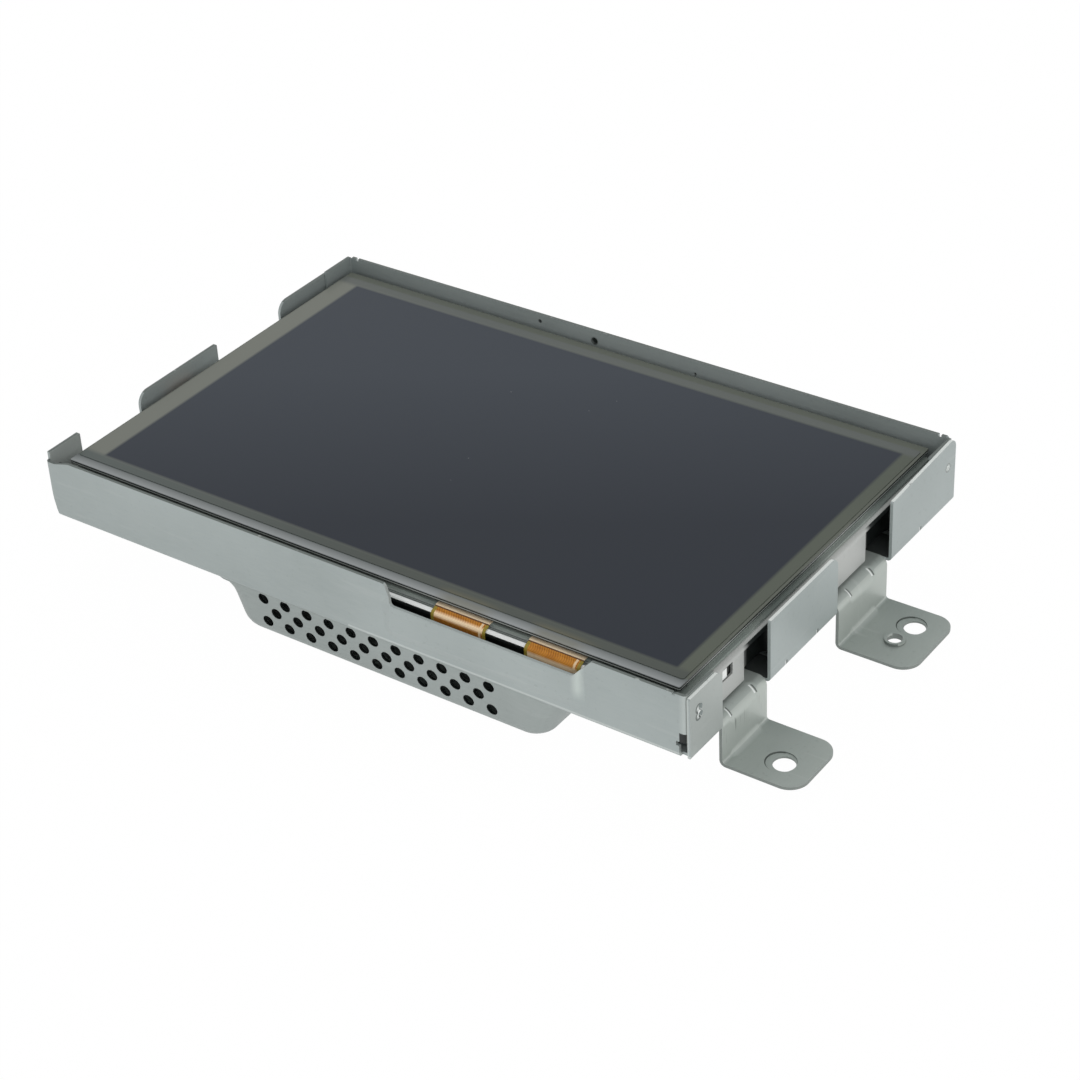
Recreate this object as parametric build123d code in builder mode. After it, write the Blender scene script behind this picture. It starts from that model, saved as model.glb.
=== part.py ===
from math import atan2, cos, degrees, radians, sqrt, tan
import os

from build123d import *

# In-vehicle display unit: a folded steel tray that holds an LCD module with its touch panel,
# a drawn rear cover over the main board, and two mounting brackets on the right side.
# Millimetres. X runs to the right along the front edge, Y away from it, Z out of the screen.
# X = Y = 0 is the centre of the picture, and Z = 0 is the flat back of the rear cover.

# Picture and what surrounds it
active_w = 174.0
active_d = 104.4
bezel_side = 6.5            # picture edge to the module's outer side
bezel_front = 8.1
bezel_back = 5.8

# Sheet metal
sheet = 0.8                 # tray, rear cover and brackets
bend_r = 0.4                # inside radius of the tray's bends
side_gap = 2.9              # module side to tray wall
end_gap = 2.2               # module front and back to tray wall

# Heights of the stack, from the rest face up
cover_depth = 14.0          # rest face to the underside of the cover's rim
module_gap = 2.1            # tray floor to module
chassis_h = 9.3
glass_t = 0.7
film_t = 0.2
gasket_t = 0.3
touch_glass_t = 1.1

# Clearances
fit = 0.2                   # loose pieces inside the module
screw_play = 0.05           # round a screw's shank
slot_play = 0.8             # round a flex where it passes through the floor

peg_sides = 12              # of round details that repeat, such as vents and screws

# Worked out from the values above
floor_z = cover_depth + sheet
floor_top = floor_z + sheet
module_z = floor_top + module_gap
chassis_top = module_z + chassis_h
tft_top = chassis_top + glass_t
cell_top = tft_top + glass_t
gasket_top = cell_top + gasket_t
touch_glass_top = gasket_top + touch_glass_t
screen_top = touch_glass_top + film_t
half_w = active_w / 2
half_d = active_d / 2
chassis_x = half_w + bezel_side
chassis_y0 = -half_d - bezel_front
chassis_y1 = half_d + bezel_back
tray_x = chassis_x + side_gap + sheet
tray_y0 = chassis_y0 - end_gap - sheet
tray_y1 = chassis_y1 + end_gap + sheet
bend_out = bend_r + sheet


def plate(x0, x1, y0, y1, z0, z1, corner=0.0, mode=Mode.ADD):
    """Flat layer between two heights, or a straight hole of that outline."""
    with BuildSketch(Plane.XY.offset(z0)) as outline:
        with Locations(((x0 + x1) / 2, (y0 + y1) / 2)):
            if corner > 0:
                RectangleRounded(x1 - x0, y1 - y0, corner)
            else:
                Rectangle(x1 - x0, y1 - y0)
    extrude(outline.sketch, amount=z1 - z0, mode=mode)


def pegs(points, radius, z0, z1, mode=Mode.ADD):
    """Upright round pegs or holes at the given points, with few sides, since they repeat."""
    with BuildSketch(Plane.XY.offset(z0)) as discs:
        with Locations(*points):
            RegularPolygon(radius, peg_sides)
    extrude(discs.sketch, amount=z1 - z0, mode=mode)


def bore(point, radius, z0, z1, mode=Mode.SUBTRACT):
    """Truly round upright hole, or a peg, at one point."""
    with BuildSketch(Plane.XY.offset(z0)) as disc:
        with Locations(point):
            Circle(radius)
    extrude(disc.sketch, amount=z1 - z0, mode=mode)


def ribbon(plane, points, radii, thickness, width):
    """Thin bent strip: its centre line lies in the plane, and its width runs square to it."""
    with BuildSketch(plane) as section:
        with BuildLine():
            FilletPolyline(*points, radius=radii)
            offset(amount=thickness / 2, side=Side.BOTH)
        make_face()
    extrude(section.sketch, amount=width / 2, both=True)


# Main board, hung in the cover's bulge from the underside of the floor
board_t = 1.6
board_hang = 3.0
board_x0 = -24.0
board_x1 = 44.0
board_y0 = -52.0
board_y1 = 24.0
board_top = floor_z - board_hang
board_z = board_top - board_t
board_inset = 4.0           # board edge to its screws
board_screw_points = [
    (x, y)
    for x in (board_x0 + board_inset, board_x1 - board_inset)
    for y in (board_y0 + board_inset, board_y1 - board_inset)
]

# Screws, rivets and studs: distances of their middles from the tray's middle
cover_screw_x = 86.0
cover_screw_y = 55.0
cover_screw_r = 1.5
cover_screw_points = [(x, y) for x in (-cover_screw_x, cover_screw_x) for y in (-cover_screw_y, cover_screw_y)]
cover_screw_points += [(-62.0, 6.0), (76.0, 6.0)]
screw_head_r = 2.75
screw_head_h = 2.0
screw_past = 1.4            # screw's end over the tray's floor
module_screw_r = 1.25
module_screw_x = 74.0
module_screw_points = [(x, y) for x in (-module_screw_x, module_screw_x) for y in (-42.0, 46.0)]
module_head_r = 2.4
module_head_h = 1.4
head_play = 1.0             # round heads that stand in the cover's holes
standoff_r = 2.5
rivet_r = 2.0
rivet_head_out = 1.2
rivet_head_h = 0.9
rivet_tail_out = 0.7
rivet_tail_h = 0.7
board_stud_r = 2.0

# Brackets: front and rear end of each along the tray's side
bracket_spans = {"bracket_front": (-49.0, -29.3), "bracket_rear": (4.0, 27.8)}
bracket_flange_x = 83.5
rivet_in = 5.0              # flange's edge to the rivets
rivet_x = bracket_flange_x + rivet_in
rivet_pitch = 12.0
rivet_points = [
    (rivet_x, (front_end + rear_end) / 2 + step)
    for front_end, rear_end in bracket_spans.values()
    for step in (-rivet_pitch / 2, rivet_pitch / 2)
]

bracket_in = 0.7            # upright's outer face to the tray's outer side, inwards
foot_z = 3.5                # rest face to the underside of the feet
foot_len = 19.8             # outer face of the upright to the foot's edge
foot_corner = 5.0
hole_r = 2.75
hole_in = 7.9               # foot's edge to the middle of the mounting holes
coin_r = 3.8                # coined ring round each of them, a little off its middle
coin_back = 0.9
coin_deep = 0.3
hole_ys = {"bracket_front": -41.4, "bracket_rear": 20.6}
upper_out = 2.4             # outside radius of the upper bend
lower_in = 0.8              # inside radius of the lower bend
bead_w = 10.5               # stiffening bead, pressed into both bends
bead_slope = 1.2            # length over which the bead dies away at each end
bead_extra = 1.2            # what it adds to the upper bend's radius
bead_low = 1.0              # and to the lower bend's
collar_hole_r = 1.95
collar_r = 2.6
collar_h = 0.8
collar_x_in = 9.3           # foot's edge to the middle of the burred hole
collar_y = 13.0
upright_x = tray_x - bracket_in
foot_edge_x = upright_x + foot_len
hole_x = foot_edge_x - hole_in
bracket_bend_x = upright_x - upper_out - bead_extra

# Flexes that pass through the floor
flex_t = 0.15
panel_flex_x = 31.0
panel_flex_w = 9.0
panel_flex_y = -43.0
tail_y = -12.0
tail_w = 10.0
tail_slot_x = -34.5

# Main tray: folded in one piece
front_wall_top = screen_top + 2.4
back_wall_top = screen_top + 3.2
relief_w = 2.2              # corner relief at an end of the front or back wall
relief_d = 1.5
relief_h = 4.5
corner_cut_w = 1.9          # lower left corner of the front wall
corner_cut_h = 9.0
end_drop = 1.4              # by which that wall's top is lower at its left end
end_drop_x0 = 3.0           # from the tray's left side to where it starts to rise
end_drop_x1 = 8.0
back_chamfer = 1.5          # upper corners of the back wall
flap_len = 11.5             # end flaps of those walls, inside the tabs
flap_play = 0.1
gap_back = 0.3              # floor's edge in the gaps to the start of the brackets' upper bend
gap_x = bracket_bend_x - gap_back

# Side tabs: side, front end, rear end, rise over the screen at both ends, radii of the top corners
tabs = (
    (1, tray_y0, tray_y0 + 13.6, 2.1, 2.1, 0.6, 3.0),
    (1, -28.9, 2.0, 2.1, 2.2, 0.6, 3.0),
    (1, 28.6, tray_y1, 2.1, 3.6, 0.6, 2.6),
    (-1, tray_y0 - 1.0, tray_y0 + 12.4, 3.2, 3.2, 0.6, 0.6),
    (-1, -28.2, 3.0, 2.7, 2.7, 3.5, 0.6),
    (-1, 29.5, tray_y1, 2.3, 2.3, 3.5, 0.6),
)

# Notch and joggled pad of the front wall, where the driver tapes pass
notch_x0 = 12.4
notch_x1 = 71.2
notch_depth = 5.4
notch_slant = 5.0           # length of its sloping right side along X
notch_lean = 1.8            # and of its left side
notch_z = front_wall_top - notch_depth
notch_round = 1.2
pad_x0 = 11.4
pad_x1 = 69.0
pad_h = 9.4
pad_out = 0.8
pad_slope = 2.4             # width of the sloping edge round it
pad_round = 3.0

# Clinch marks that hold tabs and flaps together: side, place in Y, height
clinch_r = 0.9
clinch_deep = 1.0
clinches = (
    (1, tray_y0 + 4.4, screen_top - 2.5),
    (1, tray_y0 + 4.4, screen_top - 4.5),
    (1, tray_y1 - 3.9, screen_top - 3.5),
    (-1, tray_y1 - 3.9, screen_top - 3.5),
)

# Punch marks inside the back wall: X, height over the screen, radius
punch_marks = ((-29.3, 1.1, 0.5), (-11.4, 0.0, 1.0), (20.65, -0.8, 0.5))
punch_deep = 0.55

wall_end_x = tray_x - relief_w - 2 * sheet
flap_x = tray_x - sheet - flap_play
tab_reach = back_wall_top + 2


def round_pan(pan, radius):
    """Rounds the bends round the floor, and the front left corner, where the wall goes round."""
    front_left = pan.edges().filter_by(Axis.Z).group_by(Axis.X)[0].sort_by(Axis.Y)[0]
    fillet([*pan.faces().sort_by(Axis.Z)[0].edges(), front_left], radius)


with BuildPart() as tray_hollow:
    plate(-tray_x + sheet, tray_x - sheet, tray_y0 + sheet, tray_y1 - sheet, floor_top, tab_reach)
    round_pan(tray_hollow, bend_r)

with BuildPart() as main_tray:
    plate(-tray_x, tray_x, tray_y0, tray_y1, floor_z, tab_reach)
    round_pan(main_tray, bend_out)
    add(tray_hollow.part, mode=Mode.SUBTRACT)
    # Sides: all between and above the tabs is cut away, into the floor's edge
    for side in (1, -1):
        with BuildSketch(Plane.YZ.offset(side * gap_x)) as gaps:
            with Locations(((tray_y0 + tray_y1) / 2, (floor_z + tab_reach) / 2)):
                Rectangle(tray_y1 - tray_y0, tab_reach - floor_z)
            for tab_side, y_front, y_rear, rise_front, rise_rear, r_front, r_rear in tabs:
                if tab_side == side:
                    with BuildLine():
                        top_line = FilletPolyline(
                            (y_front, floor_z - 1),
                            (y_front, screen_top + rise_front),
                            (y_rear, screen_top + rise_rear),
                            (y_rear, floor_z - 1),
                            radius=[r_front, r_rear],
                        )
                        Line(top_line @ 0, top_line @ 1)
                    make_face(mode=Mode.SUBTRACT)
        extrude(amount=side * (tray_x - gap_x), mode=Mode.SUBTRACT)
    # End walls: cut to their heights, and at three corners relieved, with their ends turned in
    for wall_y, turn, top, sides in (
        (tray_y0, 1, front_wall_top, (1,)),
        (tray_y1, -1, back_wall_top, (-1, 1)),
    ):
        end_y = wall_y + turn * sheet
        flap_end_y = wall_y + turn * flap_len
        relief_y = wall_y + turn * relief_d
        plate(-tray_x + bend_out, tray_x - sheet, min(wall_y, end_y), max(wall_y, end_y),
              top, tab_reach, mode=Mode.SUBTRACT)
        for side in sides:
            bend_x0, bend_x1 = sorted((side * wall_end_x, side * (tray_x - sheet)))
            plate(bend_x0, bend_x1, min(wall_y, end_y), max(wall_y, end_y),
                  floor_z + relief_h, tab_reach, mode=Mode.SUBTRACT)
            relief_x0, relief_x1 = sorted((side * (tray_x - sheet - relief_w), side * (tray_x - sheet)))
            plate(relief_x0, relief_x1, min(wall_y, relief_y), max(wall_y, relief_y),
                  floor_z, floor_z + relief_h, mode=Mode.SUBTRACT)
            with BuildSketch(Plane.XY.offset(floor_z + relief_h)) as flap:
                with BuildLine():
                    outer = FilletPolyline(
                        (side * wall_end_x, wall_y),
                        (side * flap_x, wall_y),
                        (side * flap_x, flap_end_y),
                        radius=bend_out,
                    )
                    inner = FilletPolyline(
                        (side * wall_end_x, end_y),
                        (side * (flap_x - sheet), end_y),
                        (side * (flap_x - sheet), flap_end_y),
                        radius=bend_r,
                    )
                    Line(outer @ 0, inner @ 0)
                    Line(outer @ 1, inner @ 1)
                make_face()
            extrude(flap.sketch, amount=top - floor_z - relief_h)
    # Left end of the front wall drops a little, and its lower corner is cut back
    with BuildSketch(Plane.XZ.offset(-tray_y0)) as left_end:
        with BuildLine():
            Polyline(
                (-tray_x, tab_reach),
                (-tray_x + end_drop_x1, tab_reach),
                (-tray_x + end_drop_x1, front_wall_top),
                (-tray_x + end_drop_x0, front_wall_top - end_drop),
                (-tray_x, front_wall_top - end_drop),
                close=True,
            )
        make_face()
        with BuildLine():
            Polyline(
                (-tray_x, floor_z),
                (-tray_x + corner_cut_w, floor_z),
                (-tray_x, floor_z + corner_cut_h),
                close=True,
            )
        make_face()
    extrude(amount=-bend_out, mode=Mode.SUBTRACT)
    # Clinch marks: a button pressed from the tab through the flap
    for side, mark_y, mark_z in clinches:
        button = Plane(origin=(side * tray_x, mark_y, mark_z), z_dir=(-side, 0, 0))
        with BuildSketch(button) as boss:
            RegularPolygon(clinch_r + sheet / 2, peg_sides)
        extrude(amount=2 * sheet + flap_play + clinch_deep / 2)
        with BuildSketch(button) as dimple:
            RegularPolygon(clinch_r, peg_sides)
        extrude(amount=clinch_deep, taper=15, mode=Mode.SUBTRACT)
    # Joggled pad under the notch, then the notch itself
    for face_y, pad_mode in ((tray_y0, Mode.ADD), (tray_y0 + sheet, Mode.SUBTRACT)):
        with BuildSketch(Plane.XZ.offset(-face_y)) as pad:
            with Locations(((pad_x0 + pad_x1) / 2, notch_z - pad_h / 2 + 1)):
                RectangleRounded(pad_x1 - pad_x0, pad_h + 2, pad_round)
        extrude(amount=pad_out, taper=degrees(atan2(pad_slope, pad_out)), mode=pad_mode)
    with BuildSketch(Plane.XZ.offset(-tray_y0 + 2 * pad_out)) as notch:
        with BuildLine():
            above = front_wall_top + 1
            notch_edge = FilletPolyline(
                (notch_x0 - 3, above),
                (notch_x0 - 3, front_wall_top),
                (notch_x0, front_wall_top),
                (notch_x0 + notch_lean, notch_z),
                (notch_x1 - notch_slant, notch_z),
                (notch_x1, front_wall_top),
                (notch_x1 + 3, front_wall_top),
                (notch_x1 + 3, above),
                radius=[0.2, notch_round, notch_round, notch_round, notch_round, 0.2],
            )
            Line(notch_edge @ 0, notch_edge @ 1)
        make_face()
    extrude(amount=-3 * pad_out - 2 * sheet, mode=Mode.SUBTRACT)
    # Back wall: chamfered ends and small punch marks
    for side in (1, -1):
        with BuildSketch(Plane.XZ.offset(-tray_y1)) as corner_cut:
            with BuildLine():
                Polyline(
                    (side * flap_x, back_wall_top),
                    (side * (flap_x - back_chamfer), back_wall_top),
                    (side * flap_x, back_wall_top - back_chamfer),
                    close=True,
                )
            make_face()
        extrude(amount=sheet, mode=Mode.SUBTRACT)
    for mark_x, rise, mark_r in punch_marks:
        with BuildSketch(Plane.XZ.offset(-tray_y1 + sheet)) as punch_mark:
            with Locations((mark_x, screen_top + rise)):
                RegularPolygon(mark_r, peg_sides)
        extrude(amount=-punch_deep, mode=Mode.SUBTRACT)
    # Slots for the two flexes, and holes for screws, studs and rivets
    plate(
        panel_flex_x - panel_flex_w / 2 - slot_play,
        panel_flex_x + panel_flex_w / 2 + slot_play,
        panel_flex_y - slot_play,
        panel_flex_y + slot_play,
        floor_z,
        floor_top,
        mode=Mode.SUBTRACT,
    )
    plate(
        tail_slot_x - slot_play,
        tail_slot_x + slot_play,
        tail_y - tail_w / 2 - slot_play,
        tail_y + tail_w / 2 + slot_play,
        floor_z,
        floor_top,
        mode=Mode.SUBTRACT,
    )
    pegs(cover_screw_points, cover_screw_r + screw_play, floor_z, floor_top, Mode.SUBTRACT)
    pegs(module_screw_points, module_screw_r + screw_play, floor_z, floor_top, Mode.SUBTRACT)
    pegs(rivet_points, rivet_r + screw_play, floor_z, floor_top, Mode.SUBTRACT)
    pegs(board_screw_points, board_stud_r + screw_play, floor_z, floor_top, Mode.SUBTRACT)

# Rear cover: drawn sheet with a deep bulge for the main board
cover_x = gap_x - 0.6       # a little inside the floor's edge
cover_y0 = tray_y0 + 1.8    # set back, so that the tray's front wall hides the rim
cover_y1 = tray_y1 - 3.0
rim_corner = 2.0
bulge_corner = 6.0
bulge_arc = 6.0             # radius of its roundest flank, at the rim and at the rest face

# Flanks of the bulge: sharp foot at the rest face, lean in degrees, radii at rim and rest face
flank_left = (-38.5, 17.0, bulge_arc, bulge_arc)
flank_right = (53.5, 30.0, 3.0, 4.0)
flank_front = (-60.6, 6.0, 0.2, 4.0)
flank_back = (32.5, 6.0, 0.8, 4.0)
arc_drops = [bulge_arc * (1 - cos(radians(angle))) for angle in range(0, 73, 12)]

# Vent holes in the bulge's front: three staggered rows
vent_r = 1.6
vent_pitch = 6.86
vent_x = 6.1
vent_counts = (11, 10, 11)
vent_z = 5.2                # rest face to the lowest row
vent_rise = 3.6             # from row to row

# Harness socket, seen through a window in the bulge's rear side
socket_w = 20.0
socket_d = 12.0
socket_h = 8.0
socket_x = 10.0
socket_wall = 1.4
window_play = 0.4


def flank_reach(z, lean, rim_r, base_r, inset):
    """How far a flank stands out from its sharp foot at a height, inside its outer face by the inset."""
    slope = tan(radians(lean))
    slant = cos(radians(lean))
    base_arc = base_r - inset
    if z < base_r - base_arc * slope * slant:
        return base_r * (slope - 1 / slant) + sqrt(max(0, base_arc**2 - (base_r - z) ** 2))
    rim_arc = rim_r + inset
    rim_mid = cover_depth - rim_r
    if z > rim_mid + rim_arc * slope * slant:
        return rim_mid * slope + rim_r / slant - sqrt(max(0, rim_arc**2 - (z - rim_mid) ** 2))
    return z * slope - inset / slant


def bulge(inset):
    """Outlines of the drawn bulge from the rest face to the rim, closer together in its arcs."""
    heights = [inset + drop * (1 - inset / bulge_arc) for drop in arc_drops]
    heights += [cover_depth + inset - drop * (1 + inset / bulge_arc) for drop in reversed(arc_drops)]
    outlines = []
    for z in heights:
        reaches = [
            flank_reach(z, lean, rim_r, base_r, inset)
            for foot, lean, rim_r, base_r in (flank_left, flank_right, flank_front, flank_back)
        ]
        x0 = flank_left[0] - reaches[0]
        x1 = flank_right[0] + reaches[1]
        y0 = flank_front[0] - reaches[2]
        y1 = flank_back[0] + reaches[3]
        with BuildSketch(Plane.XY.offset(z)) as outline:
            with Locations(((x0 + x1) / 2, (y0 + y1) / 2)):
                RectangleRounded(x1 - x0, y1 - y0, bulge_corner + reaches[2])
        outlines.append(outline.sketch)
    return outlines


with BuildPart() as bulge_inside:
    loft(bulge(sheet), ruled=True)

with BuildPart() as rear_cover:
    loft(bulge(0), ruled=True)
    with BuildSketch(Plane.XY.offset(cover_depth)) as rim:
        with Locations((0, (cover_y0 + cover_y1) / 2)):
            RectangleRounded(2 * cover_x, cover_y1 - cover_y0, rim_corner)
    extrude(amount=sheet)
    bulge_top = bulge(0)[-1]
    extrude(bulge_top, amount=sheet)
    add(bulge_inside.part, mode=Mode.SUBTRACT)
    pegs(cover_screw_points, cover_screw_r + screw_play, cover_depth, floor_z, Mode.SUBTRACT)
    pegs(module_screw_points, module_head_r + head_play, cover_depth, floor_z, Mode.SUBTRACT)
    pegs(rivet_points, rivet_r + head_play, cover_depth, floor_z, Mode.SUBTRACT)
    for row, count in enumerate(vent_counts):
        with BuildSketch(Plane.XZ.offset(-flank_front[0] + 3)) as vents:
            with Locations((vent_x, vent_z + row * vent_rise)):
                with GridLocations(vent_pitch, 1, count, 1):
                    RegularPolygon(vent_r, peg_sides)
        extrude(amount=-6, mode=Mode.SUBTRACT)
    with BuildSketch(Plane.XZ.offset(-flank_back[0] - 3)) as window:
        with Locations((socket_x, board_z - socket_h / 2)):
            RectangleRounded(socket_w + 2 * window_play, socket_h + 2 * window_play, 0.8)
    extrude(amount=6, mode=Mode.SUBTRACT)


# Brackets: Z-shaped, lying on the floor in the gaps between the right tabs
def bracket_section(y, share):
    """Z section of a bracket at a place along the tray; the share is that of the full bead."""
    upper_r = upper_out + bead_extra * share
    lower_r = lower_in + bead_low * share
    section_plane = Plane(origin=(0, y, 0), x_dir=(1, 0, 0), z_dir=(0, -1, 0))
    with BuildSketch(section_plane) as section:
        with BuildLine():
            upper = FilletPolyline(
                (bracket_flange_x, floor_top + sheet),
                (upright_x, floor_top + sheet),
                (upright_x, foot_z + sheet),
                (foot_edge_x, foot_z + sheet),
                radius=[upper_r, lower_r],
            )
            lower = FilletPolyline(
                (bracket_flange_x, floor_top),
                (upright_x - sheet, floor_top),
                (upright_x - sheet, foot_z),
                (foot_edge_x, foot_z),
                radius=[upper_r - sheet, lower_r + sheet],
            )
            Line(upper @ 0, lower @ 0)
            Line(upper @ 1, lower @ 1)
        make_face()
    return section.sketch


brackets = {}
for name, (front_end, rear_end) in bracket_spans.items():
    middle = (front_end + rear_end) / 2
    with BuildPart() as bracket:
        bead_ends = (middle - bead_w / 2, middle + bead_w / 2)
        extrude(bracket_section(front_end, 0), amount=front_end - bead_ends[0] + bead_slope)
        extrude(bracket_section(bead_ends[0], 1), amount=bead_ends[0] - bead_ends[1])
        extrude(bracket_section(bead_ends[1] + bead_slope, 0), amount=bead_ends[1] + bead_slope - rear_end)
        loft([bracket_section(bead_ends[0] - bead_slope, 0), bracket_section(bead_ends[0], 1)], ruled=True)
        loft([bracket_section(bead_ends[1], 1), bracket_section(bead_ends[1] + bead_slope, 0)], ruled=True)
        fillet(bracket.edges().filter_by(Axis.Z).group_by(Axis.X)[-1], foot_corner)
        if name == "bracket_rear":
            collar_point = (foot_edge_x - collar_x_in, collar_y)
            bore(collar_point, collar_r, foot_z, foot_z + sheet + collar_h, Mode.ADD)
            bore(collar_point, collar_hole_r, foot_z, foot_z + sheet + collar_h)
        hole_point = (hole_x, hole_ys[name])
        coin_point = (hole_x - coin_back, hole_ys[name])
        foot_top = foot_z + sheet
        bore(coin_point, coin_r, foot_top - coin_deep, foot_top)
        bore(hole_point, hole_r, foot_z, foot_top)
        own_rivets = [point for point in rivet_points if front_end < point[1] < rear_end]
        pegs(own_rivets, rivet_r + screw_play, floor_top, floor_top + sheet, Mode.SUBTRACT)
    brackets[name] = bracket

# LCD chassis: folded frame with snap windows and dished sides
chassis_t = 0.6
chassis_bend = 1.3
rim_side = 5.0              # outer side to the rim's opening
rim_front = 5.8
rim_back = 4.0
window_w = 4.4
window_h = 3.2
window_corner = 0.3
window_z = chassis_top - 2.6
window_ys = (-41.6, 41.6)
dish_deep = 2.5
dish_spans = ((-34.5, -22.0), (22.0, 37.0))
dish_round = 2.2
rail_h = 1.1                # edge rail left over each dish
lip_h = 1.3                 # rounded lip over the window that the driver tapes cross
tape_window_x0 = notch_x0 - 4.0
tape_window_x1 = notch_x1 + 4.0
dish_top = chassis_top - rail_h

with BuildPart() as lcd_chassis:
    plate(-chassis_x, chassis_x, chassis_y0, chassis_y1, module_z, chassis_top)
    fillet(lcd_chassis.faces().sort_by(Axis.Z)[-1].edges(), chassis_bend)
    plate(-chassis_x + chassis_t, chassis_x - chassis_t, chassis_y0 + chassis_t, chassis_y1 - chassis_t,
          module_z, chassis_top - chassis_t, mode=Mode.SUBTRACT)
    plate(-chassis_x + rim_side, chassis_x - rim_side, chassis_y0 + rim_front, chassis_y1 - rim_back,
          chassis_top - chassis_t, chassis_top, mode=Mode.SUBTRACT)
    plate(tape_window_x0, tape_window_x1, chassis_y0, chassis_y0 + chassis_t,
          module_z + lip_h, chassis_top - lip_h, mode=Mode.SUBTRACT)
    for side in (1, -1):
        for dish_y0, dish_y1 in dish_spans:
            ends = sorted((side * (chassis_x - dish_deep - chassis_t), side * (chassis_x - chassis_t)))
            plate(*ends, dish_y0 - chassis_t, dish_y1 + chassis_t, module_z, dish_top + chassis_t / 2)
            ends = sorted((side * (chassis_x - dish_deep), side * (chassis_x + 2 * dish_round)))
            plate(*ends, dish_y0, dish_y1, module_z, dish_top, dish_round, Mode.SUBTRACT)
        with BuildSketch(Plane.YZ.offset(side * chassis_x)) as windows:
            with Locations(*[(y, window_z) for y in window_ys]):
                RectangleRounded(window_w, window_h, window_corner)
        extrude(amount=-side * chassis_t, mode=Mode.SUBTRACT)

# Backlight: back plate, moulded frame, guide and sheets
back_t = 0.6
frame_z = module_z + back_t
inner_x = chassis_x - chassis_t
inner_y0 = chassis_y0 + chassis_t
inner_y1 = chassis_y1 - chassis_t
sheet_x = half_w + 1.4      # light guide and optical sheets
sheet_y0 = -half_d - 0.2
sheet_y1 = half_d + 2.4
bar_y = sheet_y0 - 2.0      # front face of the lamp bar
reflector_t = 0.2
guide_t = 5.0
diffuser_t = 0.3
prism_t = 0.3
dish_inner_x = chassis_x - dish_deep - chassis_t - fit


def dish_notches(z0, z1):
    """Room in an inner piece for the chassis's dished sides."""
    for side in (1, -1):
        for dish_y0, dish_y1 in dish_spans:
            ends = sorted((side * dish_inner_x, side * chassis_x))
            play = chassis_t + fit
            plate(*ends, dish_y0 - play, dish_y1 + play, z0, z1, mode=Mode.SUBTRACT)


with BuildPart() as chassis_back:
    plate(-inner_x + fit, inner_x - fit, inner_y0 + fit, inner_y1 - fit, module_z, frame_z)
    dish_notches(module_z, frame_z)
    pegs(module_screw_points, module_screw_r + screw_play, module_z, frame_z, Mode.SUBTRACT)

with BuildPart() as reflector_sheet:
    plate(-sheet_x, sheet_x, sheet_y0, sheet_y1, frame_z, frame_z + reflector_t)

guide_z = frame_z + reflector_t
with BuildPart() as light_guide:
    plate(-sheet_x, sheet_x, sheet_y0, sheet_y1, guide_z, guide_z + guide_t)
    chamfer(light_guide.edges().filter_by(Axis.X).group_by(Axis.Y)[-1], 0.3)

diffuser_z = guide_z + guide_t
with BuildPart() as diffuser_sheet:
    plate(-sheet_x, sheet_x, sheet_y0, sheet_y1, diffuser_z, diffuser_z + diffuser_t)

prism_z = diffuser_z + diffuser_t
with BuildPart() as prism_sheet:
    plate(-sheet_x, sheet_x, sheet_y0, sheet_y1, prism_z, prism_z + prism_t)

lamp_count = 24
lamp_w = 3.0
lamp_d = 1.2
lamp_h = 1.6
bar_t = 0.6
with BuildPart() as led_strip:
    plate(-sheet_x, sheet_x, bar_y, bar_y + bar_t, guide_z, guide_z + guide_t)
    with BuildSketch(Plane.XZ.offset(-bar_y - bar_t)) as lamps:
        with Locations((0, guide_z + guide_t / 2)):
            with GridLocations(2 * sheet_x / lamp_count, 1, lamp_count, 1):
                Rectangle(lamp_w, lamp_h)
    extrude(amount=-lamp_d)

ledge_z = prism_z + prism_t + fit
frame_top = chassis_top - chassis_t - fit
ledge_in = 1.0
tape_recess = 2.4           # in the frame's front, behind the window that the tapes cross
lug_w = 2.0
lug_h = 2.4
with BuildPart() as mould_frame:
    plate(-inner_x + fit, inner_x - fit, inner_y0 + fit, inner_y1 - fit, frame_z, frame_top)
    guide_x = sheet_x + fit
    plate(-guide_x, guide_x, bar_y - fit, sheet_y1 + fit, frame_z, ledge_z, mode=Mode.SUBTRACT)
    plate(
        -guide_x + ledge_in,
        guide_x - ledge_in,
        bar_y - fit + ledge_in,
        sheet_y1 + fit - ledge_in,
        ledge_z,
        frame_top,
        mode=Mode.SUBTRACT,
    )
    dish_notches(frame_z, frame_top)
    plate(tape_window_x0, tape_window_x1, inner_y0 + fit, inner_y0 + fit + tape_recess,
          frame_z, frame_top, mode=Mode.SUBTRACT)
    for side in (1, -1):
        for window_y in window_ys:
            ends = sorted((side * (inner_x - fit), side * (chassis_x - fit)))
            lug_y = window_y - window_w / 2 + fit
            plate(*ends, lug_y, lug_y + lug_w, window_z - lug_h / 2, window_z + lug_h / 2)

# Liquid-crystal cell and touch panel: what each layer reaches past the picture, in millimetres
# at the left, right, front and back
polariser_past = (0.8, 0.8, 1.1, 1.1)
tft_past = (5.0, 5.0, 5.6, 4.8)
filter_past = (4.0, 4.0, 2.3, 4.6)
gasket_hole_past = (1.2, 1.2, 1.0, 1.0)
touch_glass_past = (6.7, 4.2, 5.8, 5.8)
touch_film_past = (6.2, 3.4, 3.0, 3.2)
touch_glass_corner = 0.4
touch_film_corner = 0.6


def layer(past, z0, z1, corner=0.0, mode=Mode.ADD):
    """Layer of the cell or the touch panel between two heights."""
    left, right, front, back = past
    plate(-half_w - left, half_w + right, -half_d - front, half_d + back, z0, z1, corner, mode)


with BuildPart() as rear_polariser:
    layer(polariser_past, chassis_top - film_t, chassis_top)

with BuildPart() as tft_glass:
    layer(tft_past, chassis_top, tft_top)

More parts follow.
